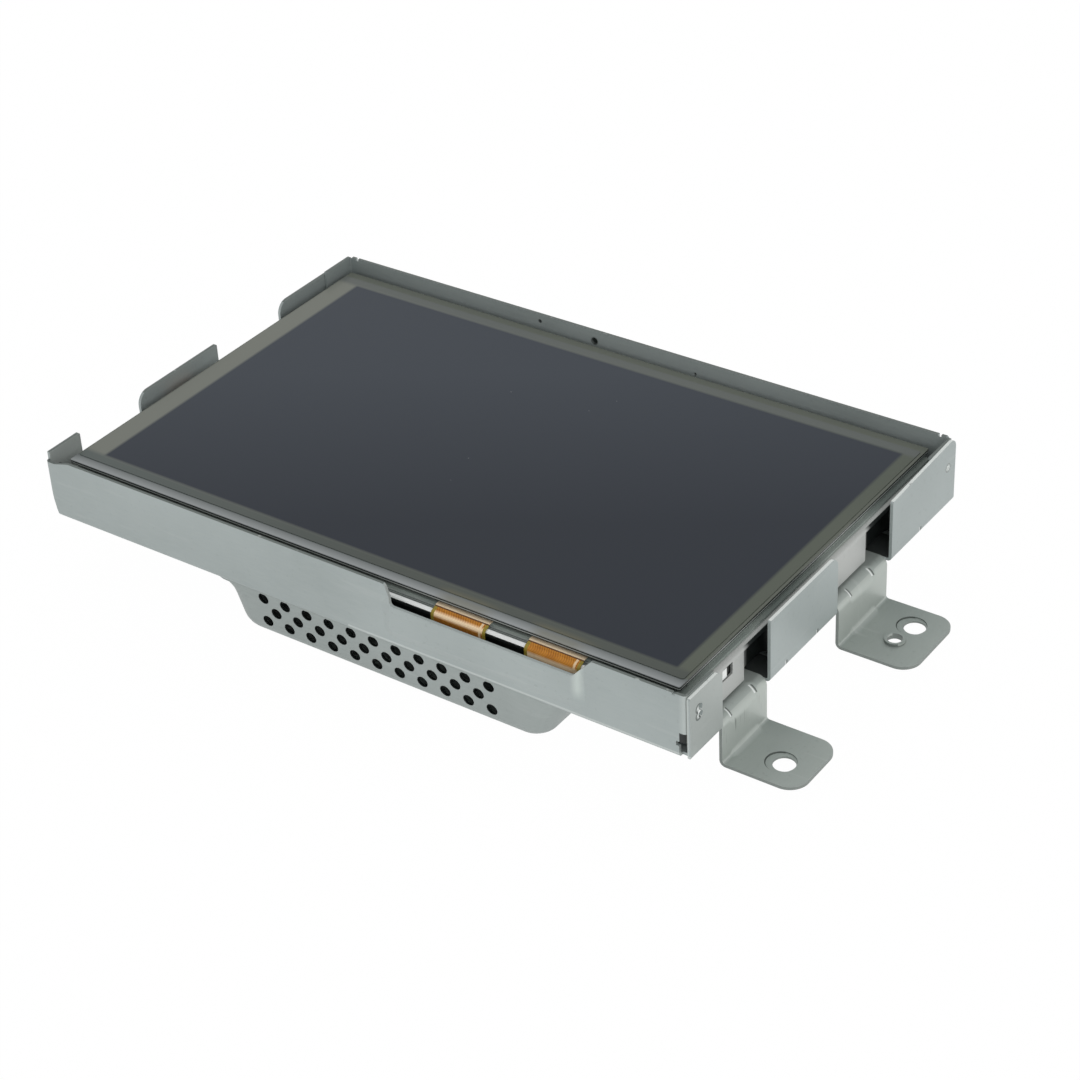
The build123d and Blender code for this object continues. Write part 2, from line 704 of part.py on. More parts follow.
with BuildPart() as colour_filter_glass:
    layer(filter_past, tft_top, cell_top)

with BuildPart() as front_polariser:
    layer((0, 0, 0, 0), cell_top, cell_top + film_t)

with BuildPart() as touch_gasket:
    layer(filter_past, cell_top, gasket_top)
    layer(gasket_hole_past, cell_top, gasket_top, mode=Mode.SUBTRACT)
    tail_gap = tail_w + 2 * fit
    plate(-half_w - filter_past[0], -half_w - gasket_hole_past[0],
          tail_y - tail_gap / 2, tail_y + tail_gap / 2, cell_top, gasket_top, mode=Mode.SUBTRACT)

with BuildPart() as touch_glass:
    layer(touch_glass_past, gasket_top, touch_glass_top, touch_glass_corner)

with BuildPart() as touch_film:
    layer(touch_film_past, touch_glass_top, screen_top, touch_film_corner)

# Driver tapes: from the cell's front edge, round the chassis, to the source board under it
tape_t = 0.15
tape_spans = {"driver_tape_left": (23.6, 39.3), "driver_tape_right": (50.4, 65.9)}
tape_bends = [0.6, 0.6, 1.3, 1.4]
tape_bond = 2.6             # length that lies on the cell's front ledge
tape_rise_len = 1.0         # length over which it then climbs
tape_play = 0.2             # round the chassis
tape_run = 10.0             # length under the module
source_board_t = 0.8
source_board_z = module_z - source_board_t
tape_z = tft_top + tape_t / 2
tft_front_y = -half_d - tft_past[2]
wrap_y = chassis_y0 - tape_play
wrap_z = chassis_top + tape_play
run_z = source_board_z - tape_t / 2
tape_path = (
    (tft_front_y + tape_bond, tape_z),
    (tft_front_y - 0.3, tape_z),
    (tft_front_y - 0.3 - tape_rise_len, wrap_z),
    (wrap_y, wrap_z),
    (wrap_y, run_z),
    (wrap_y + tape_run, run_z),
)
tapes = {}
for name, (tape_x0, tape_x1) in tape_spans.items():
    with BuildPart() as tape:
        tape_plane = Plane.YZ.offset((tape_x0 + tape_x1) / 2)
        ribbon(tape_plane, tape_path, tape_bends, tape_t, tape_x1 - tape_x0)
    tapes[name] = tape

chip_w = 12.0
chip_d = 1.2
chip_h = 0.5
chip_y = wrap_y + 4.0
with BuildPart() as driver_chips:
    for tape_x0, tape_x1 in tape_spans.values():
        chip_x = (tape_x0 + tape_x1) / 2
        plate(chip_x - chip_w / 2, chip_x + chip_w / 2, chip_y, chip_y + chip_d,
              run_z - tape_t / 2 - chip_h, run_z - tape_t / 2)

source_board_x0 = 18.0
source_board_x1 = 72.0
source_board_y = wrap_y + 3.0
source_board_d = 10.5
with BuildPart() as source_board:
    plate(source_board_x0, source_board_x1, source_board_y, source_board_y + source_board_d,
          source_board_z, module_z)

# Flex from the source board through the floor to the main board, and the touch panel's tail
connector_w = 13.0
connector_d = 4.5
connector_h = 2.0
connector_gap = 0.1         # flex's end to the connector's mouth
panel_connector_y = -37.0
flex_bends = 0.7
lead_z = board_top + connector_h / 2
with BuildPart() as panel_flex:
    flex_run = source_board_z - flex_t / 2
    flex_path = (
        (wrap_y + tape_run + 1.0, flex_run),
        (panel_flex_y, flex_run),
        (panel_flex_y, lead_z),
        (panel_connector_y - connector_gap, lead_z),
    )
    ribbon(Plane.YZ.offset(panel_flex_x), flex_path, [flex_bends] * 2, flex_t, panel_flex_w)

with BuildPart() as panel_connector:
    plate(panel_flex_x - connector_w / 2, panel_flex_x + connector_w / 2,
          panel_connector_y, panel_connector_y + connector_d, board_top, board_top + connector_h)

tail_bond = 2.5             # picture's edge to the tail's end between the touch panel's layers
tail_out = 0.8              # tail outside the module's side
tail_drop = 1.1             # tail over the tray's floor
tail_path = (
    (-half_w - tail_bond, gasket_top - flex_t / 2),
    (-chassis_x - tail_out, gasket_top - flex_t / 2),
    (-chassis_x - tail_out, floor_top + tail_drop),
    (tail_slot_x, floor_top + tail_drop),
    (tail_slot_x, lead_z),
    (board_x0 - connector_gap, lead_z),
)
with BuildPart() as touch_tail:
    ribbon(Plane.XZ.offset(-tail_y), tail_path, [0.6] + [flex_bends] * 3, flex_t, tail_w)

with BuildPart() as touch_connector:
    plate(board_x0, board_x0 + connector_d, tail_y - connector_w / 2, tail_y + connector_w / 2,
          board_top, board_top + connector_h)

# Main board and the parts on its underside: left, right, front and rear ends, and height
processor_place = (0.0, 22.0, -30.0, -8.0)
processor_h = 1.6
memory_x = (-16.0, -6.0)
memory_ys = (-30.0, -18.0)
memory_d = 9.0
memory_h = 1.0
coil_place = (28.0, 39.0, -4.0, 7.0)
coil_corner = 2.5
coil_h = 4.5
capacitor_points = ((-12, 4), (-12, 12), (28, -14), (36, -14))
capacitor_r = 3.15
capacitor_h = 5.4
with BuildPart() as main_board:
    plate(board_x0, board_x1, board_y0, board_y1, board_z, board_top)
    pegs(board_screw_points, cover_screw_r + 2 * screw_play, board_z, board_top, Mode.SUBTRACT)

stud_thread_deep = 2.5
with BuildPart() as board_standoffs:
    pegs(board_screw_points, screw_head_r, board_top, floor_z)
    pegs(board_screw_points, board_stud_r, floor_z, floor_top)
    pegs(board_screw_points, cover_screw_r + screw_play, board_top,
         board_top + stud_thread_deep, Mode.SUBTRACT)

with BuildPart() as board_screws:
    pegs(board_screw_points, cover_screw_r, board_z, board_top + stud_thread_deep - 0.3)
    pegs(board_screw_points, screw_head_r, board_z - screw_head_h, board_z)

with BuildPart() as video_processor:
    plate(*processor_place, board_z - processor_h, board_z)

with BuildPart() as memory_chips:
    for memory_y in memory_ys:
        plate(*memory_x, memory_y, memory_y + memory_d, board_z - memory_h, board_z)

with BuildPart() as power_coil:
    plate(*coil_place, board_z - coil_h, board_z, coil_corner)

with BuildPart() as capacitors:
    pegs(capacitor_points, capacitor_r, board_z - capacitor_h, board_z)

# Harness socket at the board's rear edge, with its mouth in the cover's window
socket_y1 = flank_back[0] + 0.1
mouth_deep = 8.5
pin_w = 0.64
pin_len = 2.0
pin_pitch_x = 2.2
pin_pitch_z = 2.4
pin_columns = 7
socket_z = board_z - socket_h / 2
with BuildPart() as harness_socket:
    plate(socket_x - socket_w / 2, socket_x + socket_w / 2, socket_y1 - socket_d, socket_y1,
          board_z - socket_h, board_z)
    with BuildSketch(Plane.XZ.offset(-socket_y1)) as mouth:
        with Locations((socket_x, socket_z)):
            Rectangle(socket_w - 2 * socket_wall, socket_h - 2 * socket_wall)
    extrude(amount=mouth_deep, mode=Mode.SUBTRACT)

with BuildPart() as socket_pins:
    with BuildSketch(Plane.XZ.offset(-socket_y1 + mouth_deep)) as pins:
        with Locations((socket_x, socket_z)):
            with GridLocations(pin_pitch_x, pin_pitch_z, pin_columns, 2):
                Rectangle(pin_w, pin_w)
    extrude(amount=-pin_len)

# Screws, rivets, standoffs and foam
with BuildPart() as cover_screws:
    pegs(cover_screw_points, cover_screw_r, cover_depth, floor_top + screw_past)
    pegs(cover_screw_points, screw_head_r, cover_depth - screw_head_h, cover_depth)

with BuildPart() as module_screws:
    pegs(module_screw_points, module_screw_r, floor_z, frame_z)
    pegs(module_screw_points, module_head_r, floor_z - module_head_h, floor_z)

with BuildPart() as module_standoffs:
    pegs(module_screw_points, standoff_r, floor_top, module_z)
    pegs(module_screw_points, module_screw_r + screw_play, floor_top, module_z, Mode.SUBTRACT)

with BuildPart() as bracket_rivets:
    pegs(rivet_points, rivet_r, floor_z, floor_top + sheet)
    pegs(rivet_points, rivet_r + rivet_head_out, floor_top + sheet, floor_top + sheet + rivet_head_h)
    pegs(rivet_points, rivet_r + rivet_tail_out, floor_z - rivet_tail_h, floor_z)

foam_x = 60.0
foam_y = 34.0
foam_d = 8.0
with BuildPart() as foam_strips:
    for strip_y in (-foam_y, foam_y):
        plate(-foam_x, foam_x, strip_y - foam_d / 2, strip_y + foam_d / 2, floor_top, module_z)

pieces = {
    "main_tray": main_tray,
    "rear_cover": rear_cover,
    **brackets,
    "lcd_chassis": lcd_chassis,
    "chassis_back": chassis_back,
    "mould_frame": mould_frame,
    "reflector_sheet": reflector_sheet,
    "light_guide": light_guide,
    "diffuser_sheet": diffuser_sheet,
    "prism_sheet": prism_sheet,
    "led_strip": led_strip,
    "rear_polariser": rear_polariser,
    "tft_glass": tft_glass,
    "colour_filter_glass": colour_filter_glass,
    "front_polariser": front_polariser,
    "touch_gasket": touch_gasket,
    "touch_glass": touch_glass,
    "touch_film": touch_film,
    **tapes,
    "driver_chips": driver_chips,
    "source_board": source_board,
    "panel_flex": panel_flex,
    "panel_connector": panel_connector,
    "touch_tail": touch_tail,
    "touch_connector": touch_connector,
    "main_board": main_board,
    "board_standoffs": board_standoffs,
    "board_screws": board_screws,
    "video_processor": video_processor,
    "memory_chips": memory_chips,
    "power_coil": power_coil,
    "capacitors": capacitors,
    "harness_socket": harness_socket,
    "socket_pins": socket_pins,
    "cover_screws": cover_screws,
    "module_screws": module_screws,
    "module_standoffs": module_standoffs,
    "bracket_rivets": bracket_rivets,
    "foam_strips": foam_strips,
}
os.makedirs("parts", exist_ok=True)
for name, piece in pieces.items():
    piece.part.label = name
    export_step(piece.part, f"parts/{name}.step")
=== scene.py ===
import bpy
import math
from mathutils import Matrix, Vector


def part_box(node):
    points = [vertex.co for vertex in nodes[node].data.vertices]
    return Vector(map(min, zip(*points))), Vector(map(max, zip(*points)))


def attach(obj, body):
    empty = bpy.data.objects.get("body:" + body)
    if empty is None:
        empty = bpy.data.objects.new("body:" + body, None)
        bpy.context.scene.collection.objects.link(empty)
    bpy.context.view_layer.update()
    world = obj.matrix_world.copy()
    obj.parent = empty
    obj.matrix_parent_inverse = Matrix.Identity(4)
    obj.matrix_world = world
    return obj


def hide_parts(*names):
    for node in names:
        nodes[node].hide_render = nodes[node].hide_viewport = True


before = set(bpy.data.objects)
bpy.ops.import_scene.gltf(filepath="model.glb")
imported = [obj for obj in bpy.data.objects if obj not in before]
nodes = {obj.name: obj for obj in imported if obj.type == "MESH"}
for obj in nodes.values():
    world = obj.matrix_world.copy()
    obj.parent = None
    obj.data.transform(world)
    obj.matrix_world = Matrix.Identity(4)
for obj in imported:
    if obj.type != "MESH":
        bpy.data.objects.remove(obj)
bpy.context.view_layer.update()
print("Frame loaded:", len(nodes), "CAD nodes")


# Shader helpers: one for sockets, one for a material's node tree
class Wire:
    def __init__(self, tree, socket):
        self.tree = tree
        self.socket = socket

    def maths(self, operation, other=None, clamp=False):
        values = [self] if other is None else [self, other]
        return self.tree.add("ShaderNodeMath", {"operation": operation, "use_clamp": clamp}, values)

    def __add__(self, other):
        return self.maths("ADD", other)

    def __radd__(self, other):
        return self.maths("ADD", other)

    def __mul__(self, other):
        return self.maths("MULTIPLY", other)

    def __sub__(self, other):
        return self.maths("SUBTRACT", other)

    def __rsub__(self, other):
        return (self * -1) + other

    def __truediv__(self, other):
        return self.maths("DIVIDE", other)

    def __pow__(self, other):
        return self.maths("POWER", other)

    def __gt__(self, other):
        return self.maths("GREATER_THAN", other)

    def __lt__(self, other):
        return self.maths("LESS_THAN", other)

    def near(self, middle, reach):
        return (self - middle).maths("ABSOLUTE") < reach

    def bounded(self):
        return self.maths("MULTIPLY", 1.0, clamp=True)


class Tree:
    def __init__(self, owner):
        owner.use_nodes = True
        self.graph = owner.node_tree
        self.graph.nodes.clear()

    def add(self, kind, settings=None, values=None, output=0):
        node = self.graph.nodes.new(kind)
        for key, value in (settings or {}).items():
            setattr(node, key, value)
        pairs = values.items() if isinstance(values, dict) else enumerate(values or [])
        for key, value in pairs:
            self.feed(node.inputs[key], value)
        return Wire(self, node.outputs[output]) if node.outputs else None

    def feed(self, socket, value):
        if isinstance(value, Wire):
            self.graph.links.new(value.socket, socket)
        else:
            socket.default_value = value

    def place(self):
        return self.add("ShaderNodeTexCoord", output="Object")

    def axes(self, vector):
        split = self.add("ShaderNodeSeparateXYZ", values=[vector])
        node = split.socket.node
        return [Wire(self, node.outputs[i]) for i in range(3)]

    def scaled(self, vector, scale):
        return self.add("ShaderNodeVectorMath", {"operation": "MULTIPLY"}, [vector, scale])

    def noise(self, vector, scale, detail=3.0, rough=0.5):
        return self.add(
            "ShaderNodeTexNoise",
            values={"Vector": vector, "Scale": scale, "Detail": detail, "Roughness": rough},
        )

    def cells(self, vector, scale):
        values = {"Vector": vector, "Scale": scale}
        return self.add("ShaderNodeTexVoronoi", values=values, output="Distance")

    def between(self, value, low, high):
        return self.add(
            "ShaderNodeMapRange",
            values={"Value": value, "From Min": low, "From Max": high},
        )

    def band(self, value, start, full, fade, end):
        # Rises from start to full, and falls from fade to end
        return self.between(value, start, full) * (1 - self.between(value, fade, end))

    def distance(self, first, second):
        return (first ** 2 + second ** 2).maths("SQRT")

    def mix(self, share, first, second):
        node = self.graph.nodes.new("ShaderNodeMix")
        node.data_type = "RGBA"
        self.feed(node.inputs[0], share)
        self.feed(node.inputs[6], first)
        self.feed(node.inputs[7], second)
        return Wire(self, node.outputs[2])

    def bump(self, height, strength, distance):
        values = {"Height": height, "Strength": strength, "Distance": distance}
        return self.add("ShaderNodeBump", values=values)

    def surface(self, values):
        shader = self.add("ShaderNodeBsdfPrincipled", values=values)
        self.add("ShaderNodeOutputMaterial", values={"Surface": shader})


def shade(red, green, blue):
    # Screen values of 0 to 255 as a linear colour
    linear = []
    for value in (red, green, blue):
        share = value / 255
        linear.append(share / 12.92 if share <= 0.04045 else ((share + 0.055) / 1.055) ** 2.4)
    return (*linear, 1.0)


def paintNode(name, material):
    slots = nodes[name].data.materials
    if not slots:
        slots.append(material)
    for index in range(len(slots)):
        slots[index] = material


# Zinc-coated sheet steel, as rolled: fine grain, pale clouds, small scratches, duller cut edges, and a
# painted highlight on the right tabs' top edges
def sheetSteel(name, look):
    material = bpy.data.materials.new(name)
    tree = Tree(material)
    place = tree.place()
    x, y, z = tree.axes(place)
    grain = tree.noise(tree.scaled(place, look["grain"]), look["grainScale"], 4.0, 0.6)
    clouds = tree.noise(place, look["cloudScale"], 3.0, 0.55)
    specks = tree.noise(place, look["speckScale"], 2.0, 0.5)
    scratches = tree.noise(tree.scaled(place, look["scratch"]), look["scratchScale"], 1.0, 0.4)
    speckMask = tree.between(specks, *look["speckRange"]) * look["speckShow"]
    scratchMask = tree.between(scratches, *look["scratchRange"]) * look["scratchShow"]
    grainMask = tree.between(grain, *look["grainRange"]) * look["grainShow"]
    colour = tree.mix(tree.between(clouds, *look["cloudRange"]), look["dark"], look["light"])
    colour = tree.mix(grainMask, colour, look["grainColour"])
    colour = tree.mix(speckMask, colour, look["speckColour"])
    colour = tree.mix(scratchMask, colour, look["scratchColour"])
    normal = tree.add("ShaderNodeTexCoord", output="Normal")
    nx, ny, nz = tree.axes(normal)
    cutEdge = (nz > 0.9) * (z > look["edgeFrom"])
    nicks = tree.between(tree.noise(place, look["nickScale"], 1.0, 0.5), *look["nickRange"])
    colour = tree.mix(cutEdge * (z > look["edgeHigh"]), colour, look["edge"])
    # Painted highlight on the top edges of the right tabs
    colour = tree.mix(cutEdge * (x > look["edgeHighlightFrom"]), colour, look["edgeRightHighlight"])
    colour = tree.mix(cutEdge * nicks, colour, look["nick"])
    colour = look["marks"](tree, (x, y, z), (nx, ny, nz), colour)
    roughness = grain * look["roughVary"] + clouds * look["roughVary"] + look["rough"]
    relief = tree.bump(grain * 0.5 + specks * 0.5, look["relief"], 0.0002)
    tree.surface({
        "Base Color": colour,
        "Metallic": look["metallic"],
        "Roughness": roughness + cutEdge * look["edgeRough"],
        "Normal": relief,
    })
    return material


# Tray: painted highlights on its bends, pad end and clinches, painted shade in its clinches, punch
# marks, corner slot and floor gaps, its front tab painted lighter, and burrs of its lower edge
trayMarkLook = {
    "wallDepth": 0.002,                             # of the front wall's outer face
    # Painted highlight on the pad's right end
    "padEnd": (0.0655, 0.0673, 0.0676, 0.0692),     # soft highlight along X
    "padEndFoot": (0.0205, 0.0235),
    "padEndHighlight": shade(198, 207, 202),
    # Painted highlight on the front wall's rounded corner
    "bend": (0.0942, 0.0962, 0.0966, 0.0970),       # soft highlight along X
    "bendHighlight": shade(190, 197, 194),
    # Painted shadow over the corner relief slot, reaching above the modelled slot
    "slot": (0.0952, 0.0009),                       # middle and half width
    "slotTop": 0.0218,
    "slotShadow": shade(36, 40, 39),
    # Painted highlight along the front wall's lower bend
    "fold": (0.0011, 0.0003),                       # height over the lower edge, half width
    "foldHighlight": shade(208, 214, 211),
    # Front tab's outer face, painted lighter where the light falls on it
    "frontTab": -0.04,
    "frontTabLit": shade(184, 186, 180),
    "clinchFront": (0.0044, (0.0025, 0.0045)),      # from the front end, below the screen
    "clinchBack": (0.0039, 0.0035),                 # from the rear end, below the screen
    # Each clinch: a painted shadow ring and a painted highlight in its middle
    "ring": (0.00105, 0.00022),                     # radius, half width
    "ringShadowFront": shade(78, 84, 82),
    "ringShadowBack": shade(128, 134, 131),
    "middleFront": 0.0005,
    "middleBack": 0.0009,
    "middleHighlight": shade(232, 236, 234),
    # Painted highlight on the clinch button
    "button": (0.0047, 0.0036, 0.0005),             # from the front end, below the screen, radius
    "buttonGlint": shade(250, 252, 251),
    "gaps": ((-0.0345, -0.0215), (0.021, 0.0375)),  # shaded floor beside the module's dishes
    "gapFrom": 0.0885,
    "gapFloor": 0.0025,
    "gapShadow": shade(30, 34, 33),
    "backWall": 0.0015,
    # Painted shade inside the punch marks on the back wall
    "punchMarks": ((-0.0293, 0.0011, 0.0005), (-0.0114, 0.0, 0.001), (0.02065, -0.0008, 0.0004)),
    "punchShadow": shade(40, 46, 44),
    "burrs": (-0.0072, -0.0215, 0.0436),
    "burrTop": 0.0019,
    "burrShade": shade(70, 75, 73),
    "burrGlint": shade(206, 210, 208),
}


def trayMarks(tree, place, normal, colour):
    look = trayMarkLook
    x, y, z = place
    low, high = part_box("main_tray")
    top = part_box("touch_film")[1][2]
    front = (normal[1] < -0.5) * (y < low[1] + look["wallDepth"])
    padEnd = tree.band(x, *look["padEnd"]) * tree.between(z, *look["padEndFoot"])
    slot = x.near(*look["slot"]) * (z < look["slotTop"])
    fold = z.near(low[2] + look["fold"][0], look["fold"][1]) * (x > 0.0)
    frontTab = (normal[0] > 0.7) * (y < look["frontTab"])
    # Painted highlights on the pad's end, the corner bend and the lower fold, painted shadow over the
    # corner slot, and the front tab painted lighter where the light falls on it
    colour = tree.mix(front * padEnd * 0.75, colour, look["padEndHighlight"])
    colour = tree.mix(front * tree.band(x, *look["bend"]) * 0.8, colour, look["bendHighlight"])
    colour = tree.mix(front * slot, colour, look["slotShadow"])
    colour = tree.mix(front * fold * 0.5, colour, look["foldHighlight"])
    colour = tree.mix(frontTab * 0.35, colour, look["frontTabLit"])

    side = normal[0].maths("ABSOLUTE") > 0.2
    inset, drops = look["clinchFront"]
    clinches = [(low[1] + inset, top - drop, look["ringShadowFront"], look["middleFront"]) for drop in drops]
    inset, drop = look["clinchBack"]
    clinches.append((high[1] - inset, top - drop, look["ringShadowBack"], look["middleBack"]))
    # Painted shadow ring and painted highlight at each clinch
    for markY, markZ, ringShadow, middle in clinches:
        distance = tree.distance(y - markY, z - markZ)
        colour = tree.mix(side * distance.near(*look["ring"]) * 0.75, colour, ringShadow)
        colour = tree.mix(side * (distance < middle), colour, look["middleHighlight"])

    # Floor beside the module's dishes, painted in shadow
    floorTop = (normal[2] > 0.9) * (z < low[2] + look["gapFloor"]) * (x > look["gapFrom"])
    for startY, endY in look["gaps"]:
        colour = tree.mix(floorTop * (y > startY) * (y < endY) * 0.85, colour, look["gapShadow"])

    # Painted highlight on the clinch button
    inset, drop, radius = look["button"]
    button = tree.distance(y - low[1] - inset, z - top + drop)
    colour = tree.mix(side * (x > 0) * (button < radius), colour, look["buttonGlint"])
    inside = y > high[1] - look["backWall"]
    # Painted shade in each punch mark
    for markX, markZ, radius in look["punchMarks"]:
        distance = tree.distance(x - markX, z - top - markZ)
        spot = 1 - tree.between(distance, radius * 0.8, radius * 1.3)
        colour = tree.mix(inside * spot, colour, look["punchShadow"])
    # Burrs: a dark line with a painted glint beside each
    burrs = (normal[0] > 0.5) * (z < low[2] + look["burrTop"])
    for markY in look["burrs"]:
        colour = tree.mix(burrs * y.near(markY, 0.00022), colour, look["burrShade"])
        colour = tree.mix(burrs * y.near(markY - 0.0006, 0.0002), colour, look["burrGlint"])
    return colour


# Brackets: painted highlights and shadows at the bead's ends on the upper bend, painted shade on one
# side of each hole's coined ring, uprights painted lighter, and vertical scratches
bracketMarkLook = {
    # Outboard faces of the uprights, painted lighter where the light falls on them
    "uprightLit": shade(196, 202, 196),
    "streakStretch": (1.0, 1.0, 0.06),
    "streakScale": 1500.0,
    "streakBand": (0.0085, 0.0105, 0.0128, 0.0140),  # over the height, on the front bracket only
    "darkStreaks": (0.635, 0.70),
    "darkStreakShade": shade(92, 99, 95),
    "paleStreaks": (0.29, 0.34),
    "paleStreakShade": shade(212, 217, 214),
    "cutTop": 0.0045,                                # of the feet's cut sides
    "cutFrom": 0.093,
    "cutShade": shade(96, 102, 99),
    "ringMiddles": ((0.1075, -0.0414), (0.1075, 0.0206)),
    "ring": (0.0037, 0.00014),                       # radius, half width
    "ringEnd": 0.1066,
    # Painted shade on one side of each hole's coined ring
    "ringShadow": shade(84, 91, 87),
    "bendFoot": 0.0146,
    "bendTop": 0.01615,
    "beadEnds": (-0.0444, -0.0339, 0.01065, 0.02115),
    "beadGlint": shade(232, 236, 234),
    "beadShadow": shade(104, 110, 107),
}


def bracketMarks(tree, place, normal, colour):
    look = bracketMarkLook
    x, y, z = place
    streaks = tree.noise(tree.scaled(tree.place(), look["streakStretch"]), look["streakScale"], 1.0, 0.5)
    band = tree.band(z, *look["streakBand"]) * (y < 0)
    darkStreaks = tree.between(streaks, *look["darkStreaks"])
    paleStreaks = 1 - tree.between(streaks, *look["paleStreaks"])
    # Uprights painted lighter where the light falls on them
    colour = tree.mix((normal[0] > 0.7) * 0.5, colour, look["uprightLit"])
    colour = tree.mix(band * darkStreaks * 0.6, colour, look["darkStreakShade"])
    colour = tree.mix(band * paleStreaks * 0.5, colour, look["paleStreakShade"])

    cutSides = (normal[2].maths("ABSOLUTE") < 0.5) * (z < look["cutTop"]) * (x > look["cutFrom"])
    cutSides = (cutSides + (normal[1] < -0.7)).bounded()
    colour = tree.mix(cutSides * 0.7, colour, look["cutShade"])
    # Painted shade on one side of each hole's coined ring
    for ringX, ringY in look["ringMiddles"]:
        ring = tree.distance(x - ringX, y - ringY).near(*look["ring"])
        colour = tree.mix(ring * (x < look["ringEnd"]) * (normal[2] > 0.3), colour, look["ringShadow"])
    # Painted highlight and painted shadow at each bead end on the upper bend
    upper = (z > look["bendFoot"]) * (z < look["bendTop"]) * (normal[0] > 0.15)
    for markY in look["beadEnds"]:
        colour = tree.mix(upper * y.near(markY, 0.00022), colour, look["beadGlint"])
        colour = tree.mix(upper * y.near(markY + 0.0005, 0.00018), colour, look["beadShadow"])
    return colour


# Cover: painted shade on the walls of its vents and on what shows through them
coverMarkLook = {
    "ventsUpTo": -0.0575,
    "ventsFrom": 0.0016,                             # over the rest face
    "ventSpan": (0.0061, 0.038),                     # middle and half width
    "ventShadow": shade(30, 35, 34),
}


def coverMarks(tree, place, normal, colour):
    look = coverMarkLook
    x, y, z = place
    # Vents painted in shade
    vented = (y < look["ventsUpTo"]) * (z > look["ventsFrom"]) * x.near(*look["ventSpan"])
    return tree.mix(vented * (normal[1] > -0.35), colour, look["ventShadow"])


# Chassis: painted shadow in its dished sides, and a painted highlight on the lip over the window that
# the tapes cross, with painted shade in the window
chassisMarkLook = {
    "sideDepth": 0.0032,
    "rail": 0.0003,                                  # bright top of the sides, over the dishes
    "sunk": 0.0006,
    "sunkShift": 0.003,
    "dishes": ((-0.0345, -0.022), (0.022, 0.037)),
    "dishFade": 0.0024,
    "dishShadow": shade(30, 34, 33),
    "frontDepth": 0.0024,
    "frontShade": shade(170, 176, 174),
    "lines": (0.0019, 0.0014),
    "lineReach": 0.00013,
    "lineShade": shade(92, 98, 96),
    "lipDepth": 0.0011,
    "lipHighlight": shade(250, 252, 251),
    "windowDrop": 0.0006,
    # Painted shade in the window below the lip
    "windowShadow": shade(26, 30, 29),
}


def chassisMarks(tree, place, normal, colour):
    look = chassisMarkLook
    x, y, z = place
    low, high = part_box("lcd_chassis")
    outwards = x.maths("ABSOLUTE")
    side = (outwards > high[0] - look["sideDepth"]) * (z < high[2] - look["rail"])
    sunk = outwards < high[0] - look["sunk"]
    # Painted shadow in each dished side
    for startY, endY in look["dishes"]:
        shifted = y - sunk * look["sunkShift"]
        dish = tree.between(shifted, startY, startY + look["dishFade"]) * (y < endY)
        colour = tree.mix(side * dish, colour, look["dishShadow"])
    front = y < low[1] + look["frontDepth"]
    colour = tree.mix(front, colour, look["frontShade"])
    for depth in look["lines"]:
        colour = tree.mix(front * y.near(low[1] + depth, look["lineReach"]), colour, look["lineShade"])
    # Painted highlight along the lip, and painted shade in the window below it
    colour = tree.mix(front * (y < low[1] + look["lipDepth"]), colour, look["lipHighlight"])
    return tree.mix(front * (z < high[2] - look["windowDrop"]), colour, look["windowShadow"])


def noMarks(tree, place, normal, colour):
    return colour


steelLooks = {
    "tray": {
        "marks": trayMarks,
        "dark": shade(154, 163, 162),
        "light": shade(167, 176, 175),
        "grain": (1.0, 6.0, 6.0),
        "grainScale": 260.0,
        "grainRange": (0.3, 0.7),
        "grainShow": 0.25,
        "grainColour": shade(180, 187, 184),
        "cloudScale": 22.0,
        "cloudRange": (0.35, 0.65),
        "speckScale": 900.0,
        "speckRange": (0.64, 0.72),
        "speckShow": 0.15,
        "speckColour": shade(120, 127, 124),
        "scratch": (1.0, 1.0, 9.0),
        "scratchScale": 55.0,
        "scratchRange": (0.69, 0.74),
        "scratchShow": 0.1,
        "scratchColour": shade(196, 201, 198),
        "edgeFrom": 0.018,
        "edgeHigh": 0.0285,
        "edge": shade(116, 123, 120),
        "edgeRightHighlight": shade(226, 231, 228),
        "edgeHighlightFrom": 0.0963,
        "edgeRough": 0.2,
        "nick": shade(176, 181, 178),
        "nickScale": 330.0,
        "nickRange": (0.68, 0.76),
        "metallic": 0.4,
        "rough": 0.34,
        "roughVary": 0.1,
        "relief": 0.08,
    },
}
steelLooks["bracket"] = {
    **steelLooks["tray"],
    "marks": bracketMarks,
    "dark": shade(162, 171, 166),
    "light": shade(176, 184, 179),
    "grain": (6.0, 1.0, 6.0),
    "scratch": (1.0, 9.0, 1.0),
    "scratchShow": 0.2,
    "edgeFrom": 1.0,
}
steelLooks["cover"] = {
    **steelLooks["tray"],
    "marks": coverMarks,
    "dark": shade(148, 156, 154),
    "light": shade(160, 168, 166),
    "rough": 0.4,
    "edgeFrom": 1.0,
}
steelLooks["chassis"] = {
    **steelLooks["tray"],
    "marks": chassisMarks,
    "dark": shade(170, 172, 170),
    "light": shade(184, 186, 183),
    "rough": 0.28,
    "edgeFrom": 1.0,
}

paintNode("main_tray", sheetSteel("traySteel", steelLooks["tray"]))
paintNode("rear_cover", sheetSteel("coverSteel", steelLooks["cover"]))
for name in ("bracket_front", "bracket_rear"):
    paintNode(name, sheetSteel("bracketSteel", steelLooks["bracket"]))
paintNode("lcd_chassis", sheetSteel("chassisSteel", steelLooks["chassis"]))
paintNode("chassis_back", sheetSteel("backSteel", {**steelLooks["chassis"], "marks": noMarks}))
print("Sheet metal painted")


